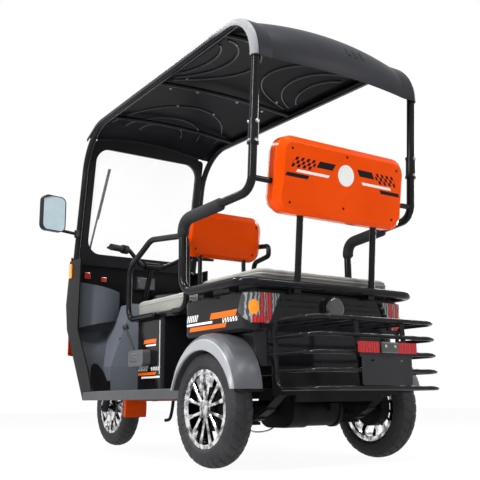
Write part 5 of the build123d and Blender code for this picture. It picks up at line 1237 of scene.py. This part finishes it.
def tail_lens():
    finish = Finish("tail_lens")
    across, along, up = finish.axes()
    side = abs(across)
    off_across, off_along, off_up = side - BULB_ACROSS, along - axle_y - BULB_BEHIND, (up - BULB_UP) * 0.8
    bulb = off_across * off_across + off_along * off_along + off_up * off_up < BULB_RADIUS ** 2
    bars = side.between(*RED_BARS[0]).either(side.between(*RED_BARS[1])) * (up > BARS_FOOT_UP)
    block = side.between(*RED_BLOCK) * (up < BLOCK_TOP_UP)
    red = bars.either(block).either(up < REFLECTOR_TOP_UP)
    prisms_and_painted_streaks = finish.node("ShaderNodeTexWave", {"wave_type": "BANDS", "bands_direction": "X"},
                         {"Vector": finish.where, "Scale": 26.0, "Distortion": 5.0, "Detail Scale": 1.6})
    # Painted reflections: the clear parts are streaked in dark and pale grey.
    silver = finish.ramp(prisms_and_painted_streaks, [(0.35, (0.035, 0.036, 0.038)), (0.75, (0.22, 0.225, 0.23))])
    deep = finish.ramp(prisms_and_painted_streaks, [(0.2, (0.22, 0.004, 0.006)), (0.8, (0.44, 0.012, 0.014))])
    colour = finish.mix(red, silver, deep)
    colour = finish.mix(bulb, colour, rgb(0.72, 0.22, 0.008))
    return finish.surface({
        "Base Color": colour,
        "Roughness": 0.05 + 0.08 * prisms_and_painted_streaks,
        "Specular IOR Level": 0.35,
        "Normal": finish.bump(prisms_and_painted_streaks, 0.0008, 0.35),
    })


def lens(name, dark, pale):
    finish = Finish(name)
    cloud = finish.noise(30.0, 3.0)
    return finish.surface({
        "Base Color": finish.ramp(cloud, [(0.3, dark), (0.75, pale)]),
        "Roughness": 0.06 + 0.08 * cloud,
        "Coat Weight": 0.6,
    })


def head_lens():
    """The round lens is clear, and the side markers up on the pillars are amber."""
    finish = Finish("head_lens")
    across, _, up = finish.axes()
    flutes = finish.node("ShaderNodeTexWave", {"wave_type": "BANDS", "bands_direction": "X"},
                         {"Vector": finish.where, "Scale": 40.0})
    clear = finish.ramp(flutes, [(0.2, (0.45, 0.47, 0.50)), (0.8, (0.74, 0.76, 0.80))])
    marker = abs(across) > 0.30
    return finish.surface({
        "Base Color": finish.mix(marker, clear, rgb(0.90, 0.28, 0.01)),
        "Roughness": 0.05 + 0.06 * flutes,
        "Coat Weight": 0.6,
        "Normal": finish.bump(flutes, 0.001, 0.4),
    })


paint_node("tail_lamps", tail_lens())
paint_node("headlamp", head_lens())
paint_node("centre_lamp", lens("smoked_dome", (0.010, 0.010, 0.012), (0.022, 0.022, 0.025)))
PLATE_LAMP_UP = 0.408
lamp_spots = []
for across in (-0.022, 0.022):
    lamp_spots.append(on_surface("centre_lamp", at(across, 0.6, PLATE_LAMP_UP), (0, -1, 0)))
set_parts("plate_lamp_screws", pan_screw, lamp_spots, zinc_finish, "chassis")


# The dash holds a small moulded instrument box with a smoked face beside the steering column,
# and two clear red switches on the left.
def rounded_box(name, low, high, edge, finish, body):
    """A moulded box between two corners with rounded edges."""
    shape = bmesh.new()
    size = high - low
    place = Matrix.Translation((low + high) / 2) @ Matrix.Diagonal((*size, 1.0))
    bmesh.ops.create_cube(shape, size=1.0, matrix=place)
    bmesh.ops.bevel(shape, geom=shape.edges[:], offset=edge, segments=3, profile=0.6, affect="EDGES")
    new_piece(name, outward_mesh(name, shape), finish, body)


def wall_behind(node, across, behind, up):
    """How far behind the axle a node's rear-facing wall is at a place, seen from behind it."""
    return on_surface(node, at(across, behind, up), (0, -1, 0))[0].y - axle_y


CLEAR_OF_DASH = -1.29
WALL_SINK = 0.004


def on_wall(name, across, up, depth, edge, finish):
    """A rounded box on the dash, across and up its two reaches."""
    wall = wall_behind("leg_shield", sum(across) / 2, CLEAR_OF_DASH, sum(up) / 2)
    low, high = at(across[0], wall - WALL_SINK, up[0]), at(across[1], wall + depth, up[1])
    rounded_box(name, low, high, edge, finish, "chassis")


red_glow = lens("red_switch", (0.22, 0.004, 0.004), (0.40, 0.010, 0.008))
smoked = lens("smoked_face", (0.012, 0.013, 0.015), (0.030, 0.032, 0.036))
box_black = black_moulding.material
on_wall("instrument_box", (-0.105, 0.012), (0.826, 0.908), 0.050, 0.010, box_black)
on_wall("instrument_face", (-0.096, 0.003), (0.836, 0.898), 0.053, 0.002, smoked)
on_wall("left_switch", (0.268, 0.304), (0.872, 0.908), 0.010, 0.004, red_glow)
on_wall("middle_switch", (0.174, 0.206), (0.863, 0.890), 0.010, 0.004, red_glow)


# The parking brake is a grey ratchet box on the seat box, with three bright ribs, and a dark
# lever that ends in a ball.
BRAKE_BOX_TOP = 0.473


def brake_paint():
    finish = Finish("brake_box")
    grain = finish.noise(700.0, 2.0)
    cloud = finish.noise(6.0, 4.0)
    colour = finish.ramp(cloud, [(0.3, (0.075, 0.079, 0.085)), (0.75, (0.115, 0.119, 0.126))])
    lever = finish.axes()[2] > BRAKE_BOX_TOP
    return finish.surface({
        "Base Color": finish.mix(lever, colour, rgb(0.020, 0.020, 0.022)),
        "Roughness": 0.32 + 0.18 * cloud,
        "Specular IOR Level": 0.3,
        "Normal": finish.bump(grain, 0.0005, 0.35),
    })


paint_node("parking_brake", brake_paint())
BRAKE_RIBS_UP = (0.451, 0.436, 0.421)
BRAKE_RIB_REACH = (-0.968, -0.900)
BRAKE_RIB_RADIUS = 0.0028
brake_paths = [[at(0.6, behind, up) for behind in BRAKE_RIB_REACH] for up in BRAKE_RIBS_UP]
lay_beads(
    "brake_ribs", brake_paths, "parking_brake", (-1, 0, 0), BRAKE_RIB_RADIUS, strip_finish,
)


# Below the sills hang a kick strip of steel on each side, painted dark red-brown as orange paint
# in shade, and a prop stand of bent rod on the left. Rubber plugs close the holes in the leg
# shield's sides.
# Painted shade: the strips' dark red-brown stands for orange paint in shade.
shaded_orange, _ = grained_plastic("shaded_orange_paint", (0.13, 0.016, 0.005), (0.20, 0.026, 0.008), 0.45)
shaded_orange_paint = shaded_orange.material
STRIP_ACROSS, STRIP_LENGTH, STRIP_HEIGHT = (0.350, 0.374), (-0.610, -0.320), (0.234, 0.2412)
for label, side in (("left", 1), ("right", -1)):
    reach = sorted(across * side for across in STRIP_ACROSS)
    low, high = (at(*corner) for corner in zip(reach, STRIP_LENGTH, STRIP_HEIGHT))
    rounded_box(label + "_kick_strip", low, high, 0.002, shaded_orange_paint, "chassis")
STAND_POINTS = (
    at(0.335, -0.395, 0.246), at(0.337, -0.397, 0.215), at(0.340, -0.402, 0.185), at(0.343, -0.408, 0.163),
    at(0.345, -0.424, 0.158), at(0.346, -0.440, 0.157),
)
STAND_RADIUS = 0.0065
bent_rod("prop_stand", STAND_POINTS, STAND_RADIUS, road_black, "chassis")
PLUG_PROFILE = [
    (0, 0.0012), (0.004, 0.0012), (0.0065, 0.0008), (0.0078, -0.0002), (0.0078, -0.002), (0, -0.002),
]
PLUG_BEHIND, PLUG_UP = -1.233, 0.549
rubber_plug = turned("rubber_plug", PLUG_PROFILE, 12)
plug_spots = []
for side in (1, -1):
    plug_spots.append(on_surface("leg_shield", at(0.6 * side, PLUG_BEHIND, PLUG_UP), (-side, 0, 0)))
set_parts("shield_plugs", rubber_plug, plug_spots, tyre_finish, "chassis")


# The stage: a pale floor, soft light from above and from both sides, and the camera at the
# photograph's place. The world is white to the camera and softer as light.
CAMERA_PLACE = at(1.9166, 2.3590, 0.2324)
CAMERA_YAW = math.radians(34.83)
CAMERA_PITCH = math.radians(11.845)
CAMERA_ROLL = math.radians(-0.53)
CAMERA_LENS = 57.46

forward = Vector((
    -math.sin(CAMERA_YAW) * math.cos(CAMERA_PITCH),
    -math.cos(CAMERA_YAW) * math.cos(CAMERA_PITCH),
    math.sin(CAMERA_PITCH),
))
level_right = Vector((-math.cos(CAMERA_YAW), math.sin(CAMERA_YAW), 0.0))
level_up = level_right.cross(forward)
camera_right = level_right * math.cos(CAMERA_ROLL) + level_up * math.sin(CAMERA_ROLL)
camera_up = level_up * math.cos(CAMERA_ROLL) - level_right * math.sin(CAMERA_ROLL)
camera_data = bpy.data.cameras.new("camera")
camera_data.lens = CAMERA_LENS
camera_data.sensor_width = 36.0
camera_data.clip_end = 100.0
camera = loose_object("camera", camera_data)
turn = Matrix((camera_right, camera_up, -forward)).transposed().to_4x4()
camera.matrix_world = Matrix.Translation(CAMERA_PLACE) @ turn
bpy.context.scene.camera = camera


def seen_directly(tree):
    """1 for rays from the camera, from metal and through glass; 0 for light itself."""
    rays = tree.nodes.new("ShaderNodeLightPath")
    total = rays.outputs["Is Camera Ray"]
    for kind in ("Is Glossy Ray", "Is Transmission Ray"):
        either = tree.nodes.new("ShaderNodeMath")
        either.operation = "MAXIMUM"
        tree.links.new(total, either.inputs[0])
        tree.links.new(rays.outputs[kind], either.inputs[1])
        total = either.outputs[0]
    return total


SOFT_LIGHT = 0.36
world = bpy.data.worlds.new("studio")
world.use_nodes = True
bpy.context.scene.world = world
sky = world.node_tree
sky.nodes.clear()
soft_light = sky.nodes.new("ShaderNodeBackground")
soft_light.inputs["Color"].default_value = rgb(1.0, 1.0, 1.0)
soft_light.inputs["Strength"].default_value = SOFT_LIGHT
white = sky.nodes.new("ShaderNodeBackground")
white.inputs["Color"].default_value = rgb(1.0, 1.0, 1.0)
white.inputs["Strength"].default_value = 1.0
choose = sky.nodes.new("ShaderNodeMixShader")
sky.links.new(seen_directly(sky), choose.inputs["Fac"])
sky.links.new(soft_light.outputs[0], choose.inputs[1])
sky.links.new(white.outputs[0], choose.inputs[2])
sky.links.new(choose.outputs[0], sky.nodes.new("ShaderNodeOutputWorld").inputs["Surface"])

FLOOR_HALF = 14.0
floor_mesh = bpy.data.meshes.new("floor")
corner_sides = ((-1, -1), (1, -1), (1, 1), (-1, 1))
floor_corners = [(across * FLOOR_HALF, along * FLOOR_HALF, 0) for across, along in corner_sides]
floor_mesh.from_pydata(floor_corners, [], [(0, 1, 2, 3)])
floor = loose_object("floor", floor_mesh)
pale = Finish("pale_floor")
floor_colour = pale.ramp(pale.noise(2.0), [(0.3, (0.88, 0.88, 0.88)), (0.7, (0.90, 0.90, 0.90))])
pale.surface({"Base Color": floor_colour, "Roughness": 0.7})
glow = pale.node("ShaderNodeEmission", None, {"Color": rgb(1.0, 1.0, 1.0), "Strength": 1.0})
FLOOR_WHITENESS = 0.94
share = Value(pale, seen_directly(pale.tree)) * FLOOR_WHITENESS
blend = pale.node("ShaderNodeMixShader", None, {0: share, 1: Value(pale, pale.shader.outputs[0]), 2: glow})
pale.tree.links.new(blend.socket, pale.tree.nodes["Material Output"].inputs["Surface"])
floor_mesh.materials.append(pale.material)

LAMPS = (
    # name, place, target, width, height, watts
    ("left_strip", (3.2, 1.0, 2.7), (0.0, 0.2, 0.7), 0.35, 2.6, 165.0),
    ("rear_fill", (-1.5, 3.3, 2.9), (0.0, 0.4, 0.8), 1.6, 0.3, 52.0),
    ("front_rim", (0.9, -2.6, 4.2), (0.1, 0.0, 1.0), 2.4, 0.4, 130.0),
    ("top", (0.6, 1.2, 4.2), (0.1, 0.4, 0.0), 2.6, 0.5, 150.0),
    ("right_strip", (-3.2, -0.4, 2.0), (0.0, 0.0, 0.8), 0.35, 2.4, 50.0),
)
for name, place, target, width, height, watts in LAMPS:
    light = bpy.data.lights.new(name, "AREA")
    light.shape = "RECTANGLE"
    light.size = width
    light.size_y = height
    light.energy = watts
    lamp = loose_object(name, light)
    lamp.location = place
    lamp.rotation_euler = (Vector(target) - Vector(place)).to_track_quat("-Z", "Y").to_euler()

bpy.context.scene.view_settings.view_transform = "Standard"
